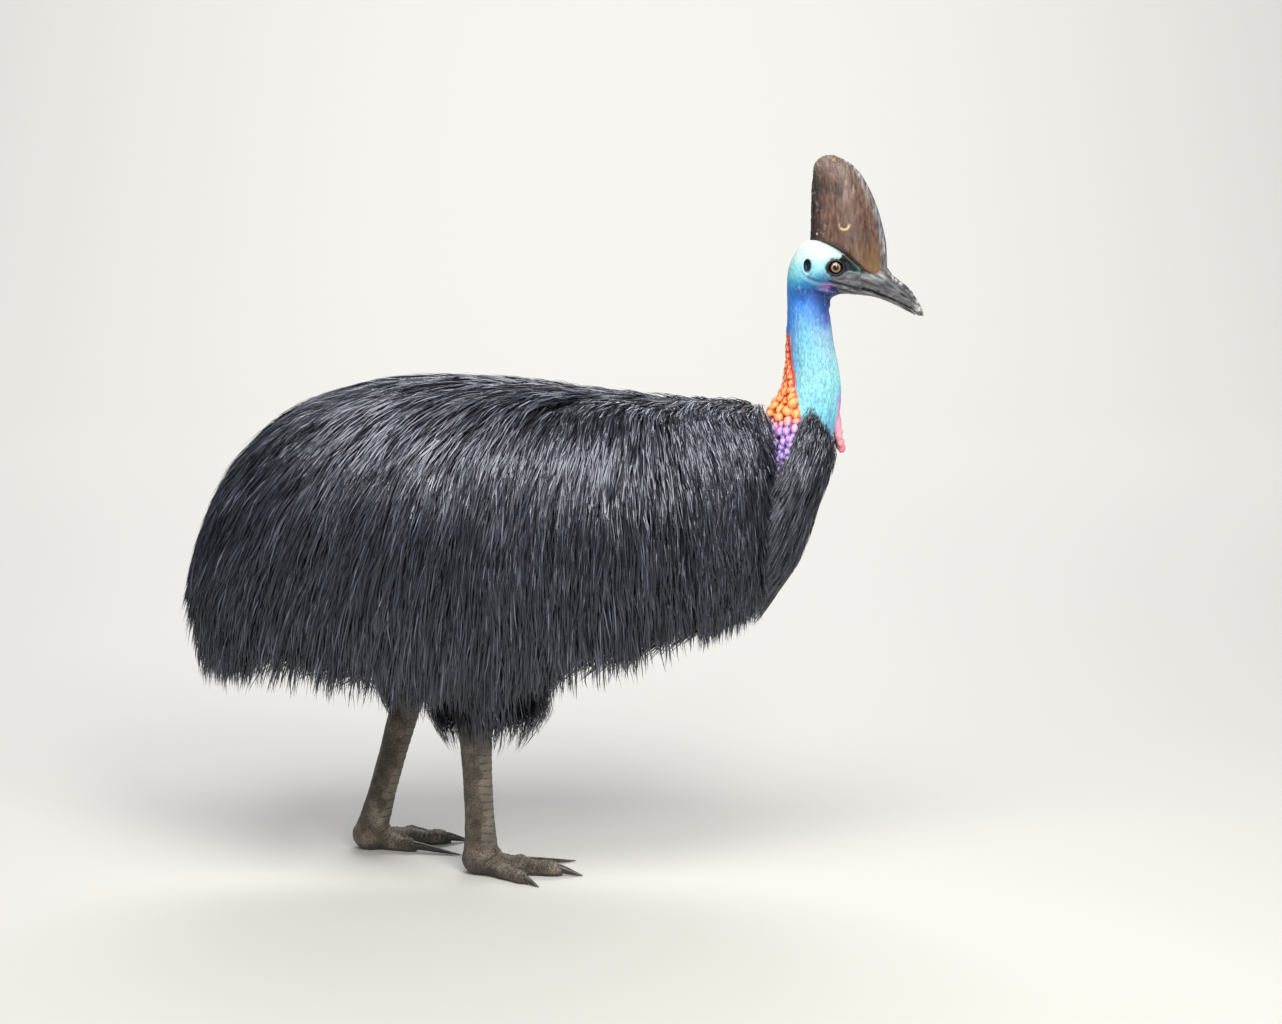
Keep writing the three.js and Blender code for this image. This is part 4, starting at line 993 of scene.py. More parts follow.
# the body's own skin under the coat: matt, and dark enough to read as the shade between feathers
def coveredSkin():
    made, tree, shader = surface("coveredSkinDown", Roughness=0.95)
    spot = add(tree, "TexCoord").outputs["Object"]
    down = add(tree, "TexNoise", {"Vector": spot, "Scale": 260.0, "Detail": 2.0})
    tint = add(tree, "ValToRGB", [down], stops=[(0.35, "#050506"), (0.7, "#101014")])
    feed(tree, shader, {"Base Color": tint})
    return made


skin = buildSkin([bareSkin(), scaledSkin(), coveredSkin()])
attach(skin, "root")
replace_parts(skin, "torso", "tail", "neck_lower", "neck_upper", "caruncles", "head")
for name in sides:
    low = name.lower()
    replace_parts(skin, "ear_" + low, "wattle_" + low, "thigh_" + low, "shank_" + low)
    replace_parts(skin, *("toe_" + toe.lower() + "_" + low for toe in toes))
print("skin ready:", len(skin.data.polygons), "faces")


# casque: a tall blade of horn over the skull, keeled in front and flaking behind

casque = {
    "levels": [  # z, x at the back, x at the front, half width
        [1078, 470, 604, 26], [1110, 464, 602, 27], [1145, 463, 600, 27], [1178, 463, 594, 25],
        [1210, 464, 585, 21.5], [1240, 464, 573, 17.5], [1268, 466, 557, 13.5], [1288, 468, 541, 10],
        [1301, 475, 524, 7], [1309, 488, 506, 4]],
    "fibre": 0.35, "swell": 0.9, "flakes": 1.5,  # how far they stand out
    "scar": [522, 1187, 8.5], "scarDeep": 0.5,  # x, z and radius of an old scar
    "foot": [
        [455, 1168], [470, 1164], [498, 1158], [520, 1147],
        [540, 1128], [558, 1112], [582, 1096], [604, 1088]],
    "rows": 170, "around": 150,
}


def buildCasque(material):
    share = 1 - (1 - np.linspace(0, 1, casque["rows"])) ** 1.25
    z, back, front, wide = through(casque["levels"])(share).T[..., None]
    a = turnOf(casque["around"])[None]
    along = 0.5 - 0.5 * np.cos(a)
    keel = 1 - 0.45 * smooth(along, 0.55, 1)
    bead = 1.5 * smooth(along, 0.93, 0.985)
    across = np.sin(a)
    out = across * wide * keel + np.sign(across) * bead * smooth(wide, 5, 14)
    rings = point(mix(back, front, along), out, z + 0 * a)
    footLine = np.interp(rings[..., 0], *np.transpose(casque["foot"]))
    rings[..., 1] *= 1 - 0.5 * smooth(footLine - rings[..., 2], 0, 9)
    p, quads, tris = loft(rings)
    normals = normalsOf(p, quads, tris)
    depth = np.concatenate([(along + 0 * z).ravel(), [0.5, 0.5]])
    behind = 1 - smooth(depth + 0.05 * noise(p, 16), 0.05, 0.24)
    top = smooth(p[:, 2] + 9 * noise(p, 12), 1262, 1300)
    drawn = p * [1, 1, 0.16]
    fibre = noise(drawn, 2.4) + 0.5 * noise(drawn + 50, 1.3)
    flakes = np.floor(2.5 * (noise(p * [1, 1, 0.4], 6.5) + 1)) / 2.5 - 1 + 0.3 * noise(p, 2.5)
    lift = casque["fibre"] * fibre + casque["swell"] * noise(p * [1, 1, 0.4], 34)
    lift = lift + casque["flakes"] * flakes * np.maximum(behind, 0.6 * top)
    cx, cz, radius = casque["scar"]
    reach = np.hypot(p[:, 0] - cx, (p[:, 2] - cz) * 1.05)
    below = smooth(cz + 3 - p[:, 2], -2, 4)
    scar = bell(reach - radius, 1.5) * below * smooth(noise(p, 5.0), -0.7, 0.1) * (p[:, 1] < 0)
    p = lifted(p, normals, lift - casque["scarDeep"] * scar)
    marks = {"behind": behind, "top": top, "keel": smooth(depth, 0.86, 0.97), "flake": np.clip(flakes, 0, 1),
             "scar": scar, "depth": depth}
    u, v = np.arctan2(np.sin(a), -np.cos(a)) / (2 * np.pi) + 0.5 + 0 * z, share[:, None] + 0 * a
    corners = ringCorners(u.ravel(), v.ravel(), quads, tris)
    return place(meshOf("casqueHorn", p, quads, tris, corners, marks), material)


# keratin horn, grown in upright fibres: brown and satin where it is worn smooth, pale where it flakes
def casqueKeratin():
    made, tree, shader = surface("casqueKeratinWorn", Roughness=0.42, IOR=1.54, Coat_Weight=0.12,
                                 Coat_Roughness=0.3)
    spot = add(tree, "TexCoord").outputs["Object"]
    height = add(tree, "SeparateXYZ", [spot]).outputs["Z"]
    drawn = add(tree, "Mapping", {"Vector": spot, "Scale": (1.0, 1.0, 0.2)})
    fibres = add(tree, "TexNoise", {"Vector": drawn, "Scale": 210.0, "Detail": 6.0, "Roughness": 0.62})
    clouds = add(tree, "TexNoise", {"Vector": spot, "Scale": 24.0, "Detail": 4.0})
    tint = add(tree, "ValToRGB", [fibres], stops=[
        (0.3, "#2a1b16"), (0.44, "#41291f"), (0.56, "#573a2e"), (0.68, "#6d5044"), (0.82, "#8f7a6e")])
    tint = over(tree, tint, "#2b1d18", add(tree, "MapRange", [clouds, 0.5, 0.66, 0.0, 0.75]))
    tint = over(tree, tint, "#5c4438", add(tree, "MapRange", [clouds, 0.46, 0.34, 0.0, 0.5]))
    # pale scuffs drawn upwards, thickest in the upper half
    long = add(tree, "Mapping", {"Vector": spot, "Scale": (1.0, 1.0, 0.1)})
    scuffs = add(tree, "TexNoise", {"Vector": long, "Scale": 90.0, "Detail": 3.0})
    upper = add(tree, "MapRange", [height, 1.2, 1.27, 0.1, 0.75])
    scuffed = add(tree, "MapRange", [scuffs, 0.56, 0.68])
    tint = over(tree, tint, "#94806f", upper, scuffed)
    # old gold stain low down in front
    low = add(tree, "MapRange", [height, 1.175, 1.11, 0.0, 0.65])
    ahead = add(tree, "MapRange", [mark(tree, "depth"), 0.4, 0.85])
    tint = over(tree, tint, "#7c6034", low, ahead)
    worn = add(tree, "ValToRGB", [mark(tree, "flake")], stops=[
        (0.0, "#18110f"), (0.25, "#2a1d18"), (0.45, "#7c6f66"), (0.6, "#cfc7bb")])
    tint = over(tree, tint, worn, "behind", 0.9)
    rust = add(tree, "MapRange", [clouds, 0.55, 0.63])
    crown = over(tree, "#5b4a40", "#b2622c", rust)
    tint = over(tree, tint, crown, "top", 0.75)
    # the keel's grey is the horn's own; its palest streaks are a painted highlight along the keel
    keelGreyAndPaintedHighlight = add(tree, "ValToRGB", [fibres], stops=[(0.35, "#323032"), (0.55, "#6a696e"), (0.72, "#b9b9be")])
    tint = over(tree, tint, keelGreyAndPaintedHighlight, "keel")
    tint = over(tree, tint, "#d3bf86", "scar")
    feed(tree, shader, {"Base Color": tint})
    scratch = add(tree, "TexNoise", {"Vector": drawn, "Scale": 520.0, "Detail": 4.0})
    first = add(tree, "Bump", {"Height": fibres, "Strength": 0.5, "Distance": 0.0012})
    second = add(tree, "Bump", {"Height": scratch, "Strength": 0.25, "Distance": 0.0004, "Normal": first})
    rough = add(tree, "MapRange", [fibres, 0.35, 0.75, 0.34, 0.62])
    feed(tree, shader, {"Roughness": rough, "Normal": second})
    return made


casquePiece = buildCasque(casqueKeratin())
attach(casquePiece, "root")
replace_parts(casquePiece, "casque")
print("casque ready")


# bill: two halves of horn that close on the line of the gape

bill = {
    "upper": [  # x, z on top, half width
        [538, 1112, 16], [552, 1113, 20], [568, 1113, 21.5], [598, 1112, 18], [611, 1097, 16],
        [626, 1085, 13.5], [641, 1073, 11], [652, 1061, 8], [661, 1045, 5], [668, 1031, 2]],
    "lower": [  # x, thickness, half width
        [503, 20, 25], [530, 16, 22], [552, 12, 19], [575, 7, 16],
        [600, 6, 13.5], [622, 6, 11], [642, 6, 8], [654, 4.5, 4]],
    "nostril": [631, 1060], "nostrilLong": 8, "nostrilHigh": 2.4, "nostrilTurn": -40, "nostrilDeep": 3.0,
    "gutterDeep": 0.9, "fibre": 0.16, "swell": 0.4, "lip": 0.5,
    "gap": 0.4,
    "rows": [120, 90], "around": 72,
}


def billRings(x, top, low, wide, ridge):
    a = turnOf(bill["around"])[None]
    height = 0.5 + 0.5 * np.cos(a)
    width = wide * np.sin(a) * mix(1, ridge, smooth(height, 0.35, 1))
    rings = point(x + 0 * a, width, mix(low, top, height))
    return rings, np.append((height + 0 * x).ravel(), [0.5, 0.5])


def buildBill(name, rings, height, material, upper):
    p, quads, tris = loft(rings)
    normals = normalsOf(p, quads, tris)
    x, y, z = p.T
    nx, nz = x - bill["nostril"][0], z - bill["nostril"][1]
    turn = math.radians(bill["nostrilTurn"])
    along, aside = nx * math.cos(turn) + nz * math.sin(turn), -nx * math.sin(turn) + nz * math.cos(turn)
    reach = np.hypot(along / bill["nostrilLong"], aside / bill["nostrilHigh"])
    slit = (1 - smooth(reach, 0.55, 1.1)) * smooth(np.abs(y), 3, 6)
    gutter = bell(aside, 3.2) * smooth(x, 560, 590) * (1 - smooth(along, 8, 20)) * smooth(np.abs(y), 4, 9)
    lip = bell(height - (0.14 if upper else 0.9), 0.1)
    drawn = p * [0.22, 1, 1]
    lift = bill["fibre"] * noise(drawn, 1.8) + bill["swell"] * noise(p, 12) + bill["lip"] * lip
    if upper:
        lift = lift - bill["nostrilDeep"] * slit - bill["gutterDeep"] * gutter * (1 - slit)
    p = lifted(p, normals, lift)
    aboveFoot = z - np.interp(x, *np.transpose(casque["foot"]))
    marks = {
        "streak": bell(aboveFoot + 5 + 2 * noise(p, 6), 2.6) * smooth(noise(p, 4.0), -0.4, 0.3) * (x < 596),
        "ridge": smooth(height + 0.06 * noise(p, 5), 0.68, 0.95) * smooth(x, 592, 618) * upper,
        "tip": smooth(x + 4 * noise(p, 6), 640, 664), "pit": slit * upper, "lip": lip,
        "root": (1 - smooth(x + 5 * noise(p, 8), 566, 612)) * smooth(z + 3 * noise(p, 6), 1096, 1106)}
    along, around = rings.shape[:2]
    u, v = np.tile(np.arange(around) / around, along), np.repeat(np.linspace(0, 1, along), around)
    corners = ringCorners(u, v, quads, tris)
    made = place(meshOf(name, p, quads, tris, corners, marks), material)
    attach(made, "root")
    return made


# bill horn, grown in long layers: charcoal and satin, rubbed pale at the edges and the tip; pale on the
# ridge, partly from wear and partly as a painted highlight along the top
def billHorn():
    made, tree, shader = surface("billHornRubbedAndPaintedSheen", Roughness=0.4, IOR=1.54, Coat_Weight=0.1,
                                 Coat_Roughness=0.35)
    spot = add(tree, "TexCoord").outputs["Object"]
    turned = add(tree, "Mapping", {"Vector": spot, "Rotation": (0, -0.5, 0)})
    drawn = add(tree, "Mapping", {"Vector": turned, "Scale": (0.1, 1.0, 1.0)})
    layers = add(tree, "TexNoise", {"Vector": drawn, "Scale": 190.0, "Detail": 4.0, "Roughness": 0.5})
    tint = add(tree, "ValToRGB", [layers], stops=[
        (0.3, "#222224"), (0.46, "#3b3b3f"), (0.6, "#55555a"), (0.78, "#86868c")])
    tint = over(tree, tint, "#1b1f20", "root", 0.9)
    tint = over(tree, tint, "#7f9a98", "streak", 0.6)
    patchy = add(tree, "TexNoise", {"Vector": spot, "Scale": 120.0, "Detail": 4.0})
    rubbed = add(tree, "MapRange", [patchy, 0.4, 0.6])
    pale = add(tree, "ValToRGB", [layers], stops=[(0.35, "#8d8c8a"), (0.6, "#dcdad6")])
    # ridge: pale partly from wear and partly as painted highlight; tip and edges: worn pale
    for name, most in (("ridge", 1.0), ("tip", 0.7), ("lip", 0.28)):
        worn = add(tree, "Math", [mark(tree, name), most], operation="MULTIPLY")
        tint = over(tree, tint, pale, worn, rubbed)
    # painted shade inside the nostril's slit
    tint = over(tree, tint, "#060607", "pit")
    feed(tree, shader, {"Base Color": tint})
    bump = add(tree, "Bump", {"Height": layers, "Strength": 0.4, "Distance": 0.0008})
    feed(tree, shader, {"Normal": bump})
    return made


hornOfBill = billHorn()
x, top, wide = through(bill["upper"])(np.linspace(0, 1, bill["rows"][0])).T[..., None]
low = gapeHeight(x) + bill["gap"] / 2 - 3.4 * smooth(x, 650, 660)
rings, height = billRings(x, top, np.minimum(low, top - 1.0), wide, 0.62)
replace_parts(buildBill("billUpper", rings, height, hornOfBill, 1), "bill_upper")
x, thick, wide = through(bill["lower"])(np.linspace(0, 1, bill["rows"][1])).T[..., None]
mouth = gapeHeight(x) - bill["gap"] / 2
rings, height = billRings(x, mouth, mouth - thick, wide, 1.0)
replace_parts(buildBill("billLower", rings, height, hornOfBill, 0), "bill_lower")
print("bill ready")


# eyes: a wet ball whose clear front bulges, with pupil, iris and dark rim laid out from its middle

eyeLook = {"pupil": 0.32, "bulge": 1.2, "bulgeWide": 9.0}


def buildEye(name, material):
    side = sides[name]
    x, y, z = face["eye"]
    a = turnOf(64)[None]
    d = np.linspace(0.03, np.pi - 0.03, 60)[:, None]
    radius = face["eyeRadius"]
    ray = radius * np.sin(d)
    bulge = eyeLook["bulge"] * np.clip(1 - (ray / eyeLook["bulgeWide"]) ** 2, 0, 1)
    out = radius * np.cos(d) + bulge * (np.cos(d) > 0)
    rings = point(x + ray * np.cos(a), side * (y + out + 0 * a), z + ray * np.sin(a))
    p, quads, tris = loft(rings)
    ahead, up, inner = p[:, 0] - x, p[:, 2] - z, np.abs(p[:, 1]) < y
    marks = {"ray": np.where(inner, 1.0, np.hypot(ahead, up) / radius),
             "turn": np.arctan2(up, ahead) / (2 * np.pi) + 0.5}
    flat = 0.5 + 0.48 * np.stack([ahead, up], -1) / radius * np.where(inner, 0.1, 1)[:, None]
    corners = flat[np.concatenate([quads.ravel(), tris.ravel()])]
    made = place(meshOf("eye" + name, p, quads, tris, corners, marks), material)
    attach(made, "root")
    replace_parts(made, "eye_" + name.lower())


# cornea over a fibrous iris: wet, so it takes sharp small lights
def wetEye():
    made, tree, shader = surface("wetCorneaIris", Roughness=0.12, IOR=1.38, Coat_Weight=1.0,
                                 Coat_Roughness=0.02, Coat_IOR=1.38)
    ray = mark(tree, "ray")
    turn = add(tree, "Math", [mark(tree, "turn"), 46.0], operation="MULTIPLY")
    spot = add(tree, "CombineXYZ", [turn, ray])
    fibres = add(tree, "TexNoise", {"Vector": spot, "Scale": 1.0, "Detail": 3.0})
    wavy = add(tree, "Math", [fibres, 0.07, ray], operation="MULTIPLY_ADD")
    iris = add(tree, "ValToRGB", [wavy], stops=[
        (0.32, "#22150c"), (0.37, "#6b4f3b"), (0.44, "#9a7a62"), (0.5, "#a5846c"), (0.55, "#6d5039"),
        (0.6, "#2c1e13"), (0.7, "#0a0706")])
    pupil = add(tree, "MapRange", [ray, eyeLook["pupil"] + 0.02, eyeLook["pupil"] - 0.02])
    tint = over(tree, iris, "#020202", pupil)
    tint = over(tree, tint, "#0a0707", add(tree, "MapRange", [ray, 0.62, 0.67]))
    feed(tree, shader, {"Base Color": tint})
    return made


iris = wetEye()
for name in sides:
    buildEye(name, iris)
print("eyes ready")


# claws: horn polished by walking, chalky at the point

def clawHorn():
    made, tree, shader = surface("clawHornPolished", Roughness=0.36, IOR=1.54)
    spot = add(tree, "TexCoord").outputs["Object"]
    drawn = add(tree, "Mapping", {"Vector": spot, "Scale": (0.2, 0.6, 1.0)})
    layers = add(tree, "TexNoise", {"Vector": drawn, "Scale": 300.0, "Detail": 4.0})
    tint = add(tree, "ValToRGB", [layers], stops=[(0.35, "#15120f"), (0.55, "#2d2722"), (0.75, "#5a5047")])
    tint = over(tree, tint, "#6b6157", "tip", 0.7)
    feed(tree, shader, {"Base Color": tint})
    bump = add(tree, "Bump", {"Height": layers, "Strength": 0.4, "Distance": 0.0006})
    feed(tree, shader, {"Normal": bump})
    return made


clawSunk = 7


def buildClaw(name, toe, material):
    root, ahead, across = toeLine(name, toe)
    _, length, claw, radius = toes[toe]
    along, around = 44, 28
    t = np.linspace(0, 1, along)[:, None]
    size = radius * 0.5 * (1 - t) ** 0.75 + 0.5
    a = turnOf(around)[None]
    height = mix(radius * 0.62, 0.6, np.sin(1.25 * t) ** 1.5)
    reach = length - clawSunk + (claw + clawSunk) * t
    rings = root + ahead * reach[..., None] + across * (size * 0.8 * np.cos(a))[..., None]
    rings[..., 2] = height + size * np.sin(a) * np.where(np.sin(a) < 0, 0.8, 1)
    p, quads, tris = loft(rings)
    p = lifted(p, normalsOf(p, quads, tris), 0.18 * noise(p * [0.3, 1, 1], 1.5))
    p[:, 2] = np.maximum(p[:, 2], 0)
    marks = {"tip": np.append(np.repeat(smooth(t, 0.6, 1)[:, 0], around), [0, 1])}
    corners = ringCorners(np.tile(np.arange(around) / around, along), np.repeat(t[:, 0], around), quads, tris)
    made = place(meshOf("claw" + toe + name, p, quads, tris, corners, marks), material)
    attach(made, "root")
    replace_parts(made, "claw_" + toe.lower() + "_" + name.lower())


hornOfClaws = clawHorn()
for name in sides:
    for toe in toes:
        buildClaw(name, toe, hornOfClaws)
print("claws ready")


# coat: fine loose strands, each a thin closed blade with a flat outer face, that lies along the body

coat = {
    "right": [12200, 12400, 12400],  # strands in the fore, middle and rear piece of each side
    "left": [10200, 10600, 10600],
    "cuts": [0.0, 0.15, 0.4, 1.0],  # where along the back those pieces meet
    "stations": [0, 0.34, 0.7, 1],  # rings and tip of a strand, as shares of its length
    # lines of the coat: where they start along the back, and how far they run back on the way down
    "starts": [0, 0.05, 0.1, 0.2, 0.3, 0.45, 1],
    "drift": [-0.04, -0.07, -0.08, 0.03, 0.18, 0.34, 0.4],
    "crown": 0.08,
    "rooted": [0.985, 0.95],  # no strand starts further along or down than this
    # locks: strands in one, drawn for one kept, spread of their roots, share of it left at the tips
    "perLock": 4, "spare": 1.5, "spread": 5.0, "gather": 0.75,
    "scatter": 16,  # how far a strand starts from the middle of its lock
    # one strand: length over the shoulder and over the rump, shortest, and where it stops about the hem
    "length": [78, 150], "shortest": 30, "hem": [-42, 12],
    "width": 2.35, "flat": 0.3, "taper": [0.7, 1.0, 0.78],
    "roll": 0.44, "twist": 0.12,  # radians by which its flat face turns, in all and from ring to ring
    "wave": 3.5, "waveSize": 42.0,  # swell of many locks together
    "stray": 0.09, "strayTogether": 0.14,  # swing over its own length, alone and with its neighbours
    "curl": 2.0, "sway": 4, "swayOver": 120,
    "forward": 26,  # the most by which a tip falls over the groove before the shoulder
    "patch": 0.003,  # side of its patch in the unwrap
    "tone": [0.5, 0.13, 0.2],  # middle, from lock to lock, from strand to strand
}
stations = np.array(coat["stations"], float)[None]


# one blade: three rings of three points and a tip, with its own patch of the unwrap
bladePoints = 10
cells = [(k, j) for k in range(2) for j in range(3)]
bladeQuads = np.array([[j, (j + 1) % 3, 3 + (j + 1) % 3, 3 + j] for k, j in cells])
bladeQuads += np.array([[3 * k] for k, j in cells])
bladeQuadUv = np.array([[[k, j], [k, j + 1], [k + 1, j + 1], [k + 1, j]] for k, j in cells]) / 3
bladeTris = np.array([[6, 7, 9], [7, 8, 9], [8, 6, 9], [0, 2, 1]])
bladeTriUv = np.array([[[0.66, j / 3], [0.66, (j + 1) / 3], [1, (j + 0.5) / 3]] for j in range(3)]
                      + [[[0, 0], [0, 0.66], [0, 0.33]]])


# the tone of each strand: a middle, what its lock adds and what it adds itself
def tonesOf(rows, lock):
    middle, byLock, byStrand = rows
    return middle + byLock * lock + rng.normal(0, byStrand, len(lock))


def strandPiece(name, spine, outward, width, tone, roots, material):
    count = len(spine)
    ahead = unit(np.gradient(spine, axis=1))
    across = unit(np.cross(ahead, outward))
    up = np.cross(across, ahead)
    roll = rng.normal(0, coat["roll"], (count, 1, 1)) + rng.normal(0, coat["twist"], (count, 4, 1))
    across, up = across * np.cos(roll) + up * np.sin(roll), up * np.cos(roll) - across * np.sin(roll)
    half = (width[:, None] * coat["taper"] / 2)[..., None]
    middle = spine[:, :3]
    ring = np.stack([middle + half * across[:, :3], middle - half * across[:, :3],
                     middle - 2 * half * coat["flat"] * up[:, :3]], 2)
    points = np.concatenate([ring.reshape(count, 9, 3), spine[:, 3:4]], 1)
    quads, tris, quadUv, triUv = bladeQuads, bladeTris, bladeQuadUv, bladeTriUv
    one = facingOut(points[0] - points[0].mean(0), quads, tris)
    if not np.array_equal(one[1], quads):
        quads, tris, quadUv, triUv = (faces[:, ::-1] for faces in (quads, tris, quadUv, triUv))
    base = np.arange(count)[:, None, None] * bladePoints
    low, high = roots.min(0), roots.max(0)
    patch = coat["patch"]
    home = ((roots - low) / np.maximum(high - low, 1e-6) * (1 - 2 * patch))[:, None, None]
    corners = np.concatenate([(home + patch * quadUv).reshape(-1, 2), (home + patch * triUv).reshape(-1, 2)])
    along = np.append(np.repeat(coat["stations"][:3], 3), 1.0)
    marks = {"tone": np.repeat(tone, bladePoints), "along": np.tile(along, count)}
    quads, tris = (base + quads).reshape(-1, 4), (base + tris).reshape(-1, 3)
    mesh = meshOf(name, points.reshape(-1, 3), quads, tris, corners, marks)
    mesh.polygons.foreach_set("use_smooth", np.zeros(len(mesh.polygons), bool))
    made = place(mesh, material)
    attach(made, "root")
    print(name + ":", count, "strands")


# lines along which the coat lies: they fan out from the neck, back along the top and down over the flank

def flow(start, v):
    drift = np.interp(start, coat["starts"], coat["drift"])
    return (start + drift * (1 - np.maximum(1 - v, 0) ** 2.6)
            + coat["crown"] * smooth(start, 0, 0.04) * (1 - np.clip(1 - v / 0.2, 0, 1) ** 2))


startSteps, downSteps = 140, 200
lineStarts, lineDowns = np.linspace(0, 1, startSteps + 1), np.linspace(0, 1.2, 241)
lineAlong = flow(lineStarts[:, None], lineDowns[None])
linePoints = coatPoint(lineAlong, lineDowns + 0 * lineAlong, 1.0, 1.0)
lineLength = np.cumsum(np.linalg.norm(np.diff(linePoints, axis=1, prepend=linePoints[:, :1]), axis=2), axis=1)
lengthStep = 4.0
lengths = np.arange(0, lineLength.max(), lengthStep)
lineDownAt = np.stack([np.interp(lengths, row, lineDowns) for row in lineLength])
lineEnd = np.array([min(np.interp(1.0, lineDowns, lengthRow), np.interp(1.0, alongRow, lengthRow))
                    for lengthRow, alongRow in zip(lineLength, lineAlong)])


def readTable(table, row, column):
    row = np.clip(row, 0, table.shape[0] - 1.001)
    column = np.clip(column, 0, table.shape[1] - 1.001)
    i, j = row.astype(int), column.astype(int)
    f, g = row - i, column - j
    return mix(mix(table[i, j], table[i + 1, j], f), mix(table[i, j + 1], table[i + 1, j + 1], f), g)


def outwardAt(u, v, side, depth=1.0):
    alongBody = coatPoint(u + 0.01, v, depth, side) - coatPoint(u - 0.01, v, depth, side)
    downBody = coatPoint(u, v + 0.01, depth, side) - coatPoint(u, v - 0.01, depth, side)
    return unit(np.cross(downBody, alongBody) * np.asarray(side)[..., None])


def bodyStrands(name, side, low, high, count, material):
    # where locks start, by the area that each cell of the table of lines covers
    locks = int(count * coat["spare"] / coat["perLock"])
    area = np.linalg.norm(np.cross(np.gradient(linePoints, axis=0), np.gradient(linePoints, axis=1)), axis=2)
    lastAlong, lastDown = coat["rooted"]
    area = area * (lineAlong < lastAlong) * (lineDowns < lastDown)
    area = area * ((lineStarts >= low) & (lineStarts < high))[:, None]
    chosen = rng.choice(area.size, locks, p=(area / area.sum()).ravel())
    row, column = chosen // area.shape[1], chosen % area.shape[1]
    start = (row + rng.uniform(-0.5, 0.5, locks)) / startSteps
    down = np.abs(column + rng.uniform(-0.5, 0.5, locks)) / downSteps
    each = lambda values: np.repeat(values, coat["perLock"])
    lockDepth = 1 - 0.5 * rng.uniform(0, 1, locks) ** 2.2
    lockTone = rng.normal(0, 1, locks)
    lockSway = rng.normal(0, coat["sway"], locks)
    # each strand's place on its line, and its length
    total = locks * coat["perLock"]
    start, down = np.clip(each(start), 0, 1), each(down)
    across = rng.normal(0, coat["spread"], total)
    at = readTable(lineLength, start * startSteps, down * downSteps)
    at = np.maximum(at + rng.uniform(-coat["scatter"], coat["scatter"], total), 0)
    wanted = mix(*coat["length"], smooth(start, 0.05, 0.7)) * rng.uniform(0.6, 1.25, total)
    end = np.interp(start, lineStarts, lineEnd) + rng.uniform(*coat["hem"], total)
    length = np.minimum(wanted, end - at)
    keep = np.flatnonzero(length > coat["shortest"])[:count]
    start, at, length, across = (values[keep] for values in (start, at, length, across))
    depth, tone, sway = (each(values)[keep] for values in (lockDepth, lockTone, lockSway))
    one = (len(at), 1)
    reached = (at[:, None] + length[:, None] * stations) / lengthStep
    v = readTable(lineDownAt, (start * startSteps)[:, None] + 0 * stations, reached)
    u = flow(start[:, None], v)
    # it rises from the skin to its depth in the coat, less so at the front edge
    rise = 0.5 + 0.5 * (1 - (1 - stations) ** 2)
    inside = smooth(u, -0.01, 0.06)
    edge = mix(0.45, 1.0, inside) + 0.5 * (1 - smooth(v, 0.1, 0.3)) * (1 - inside)
    spine = coatPoint(u, v, (depth[:, None] + rng.uniform(-0.05, 0.04, one)) * rise * edge, side)
    outward = outwardAt(u, v, side + 0 * u)
    wave = coat["wave"] * noise(spine * [0.5, 1, 0.5], coat["waveSize"]) * rise
    spine = spine + outward * wave[..., None]
    # it strays, curls and sways to the side, and draws towards the middle of its lock
    crosswise = unit(np.cross(unit(np.gradient(spine, axis=1)), outward))
    stray = rng.normal(0, coat["stray"], one) + coat["strayTogether"] * noise(spine[:, :1], 60.0)
    curl = rng.normal(0, coat["curl"], one) * np.sin(np.pi * stations)
    curl = curl + (sway * length / coat["swayOver"])[:, None] * stations**2
    aside = across[:, None] * mix(1, coat["gather"], stations) + curl + stray * length[:, None] * stations
    spine = spine + crosswise * aside[..., None]
    spine = spine + outward * (rng.normal(0, 1.2, one) * stations)[..., None]
    # at the front edge the tips fall forward over the groove, each as far as it likes
    front = (1 - smooth(start, 0.0, 0.07)) * rng.uniform(-0.12, 1, len(at))
    spine = spine + point(1, -0.35 * side, 0) * (coat["forward"] * front[:, None] * stations**1.5)[..., None]
    width = coat["width"] * rng.uniform(0.65, 1.2, len(at)) * smooth(length, 0, 70) ** 0.5
    roots = np.stack([u[:, 0], 0.5 + 0.5 * side * v[:, 0]], -1)
    strandPiece(name, spine, outward, width, tonesOf(coat["tone"], tone), roots, material)


neckCoat = {
    "strands": 11800, "perLock": 4, "spare": 2,
    "from": 0.33,  # share of the neck above which no strand starts
    "length": [13, 66], "longOver": 150,  # below the line where the feathers begin
    "around": 0.07, "width": 2.0, "swell": 14.0, "slope": 0.17,
    "reach": 640,  # length of the whole neck
    "tone": [0.55, 0.1, 0.14],
}


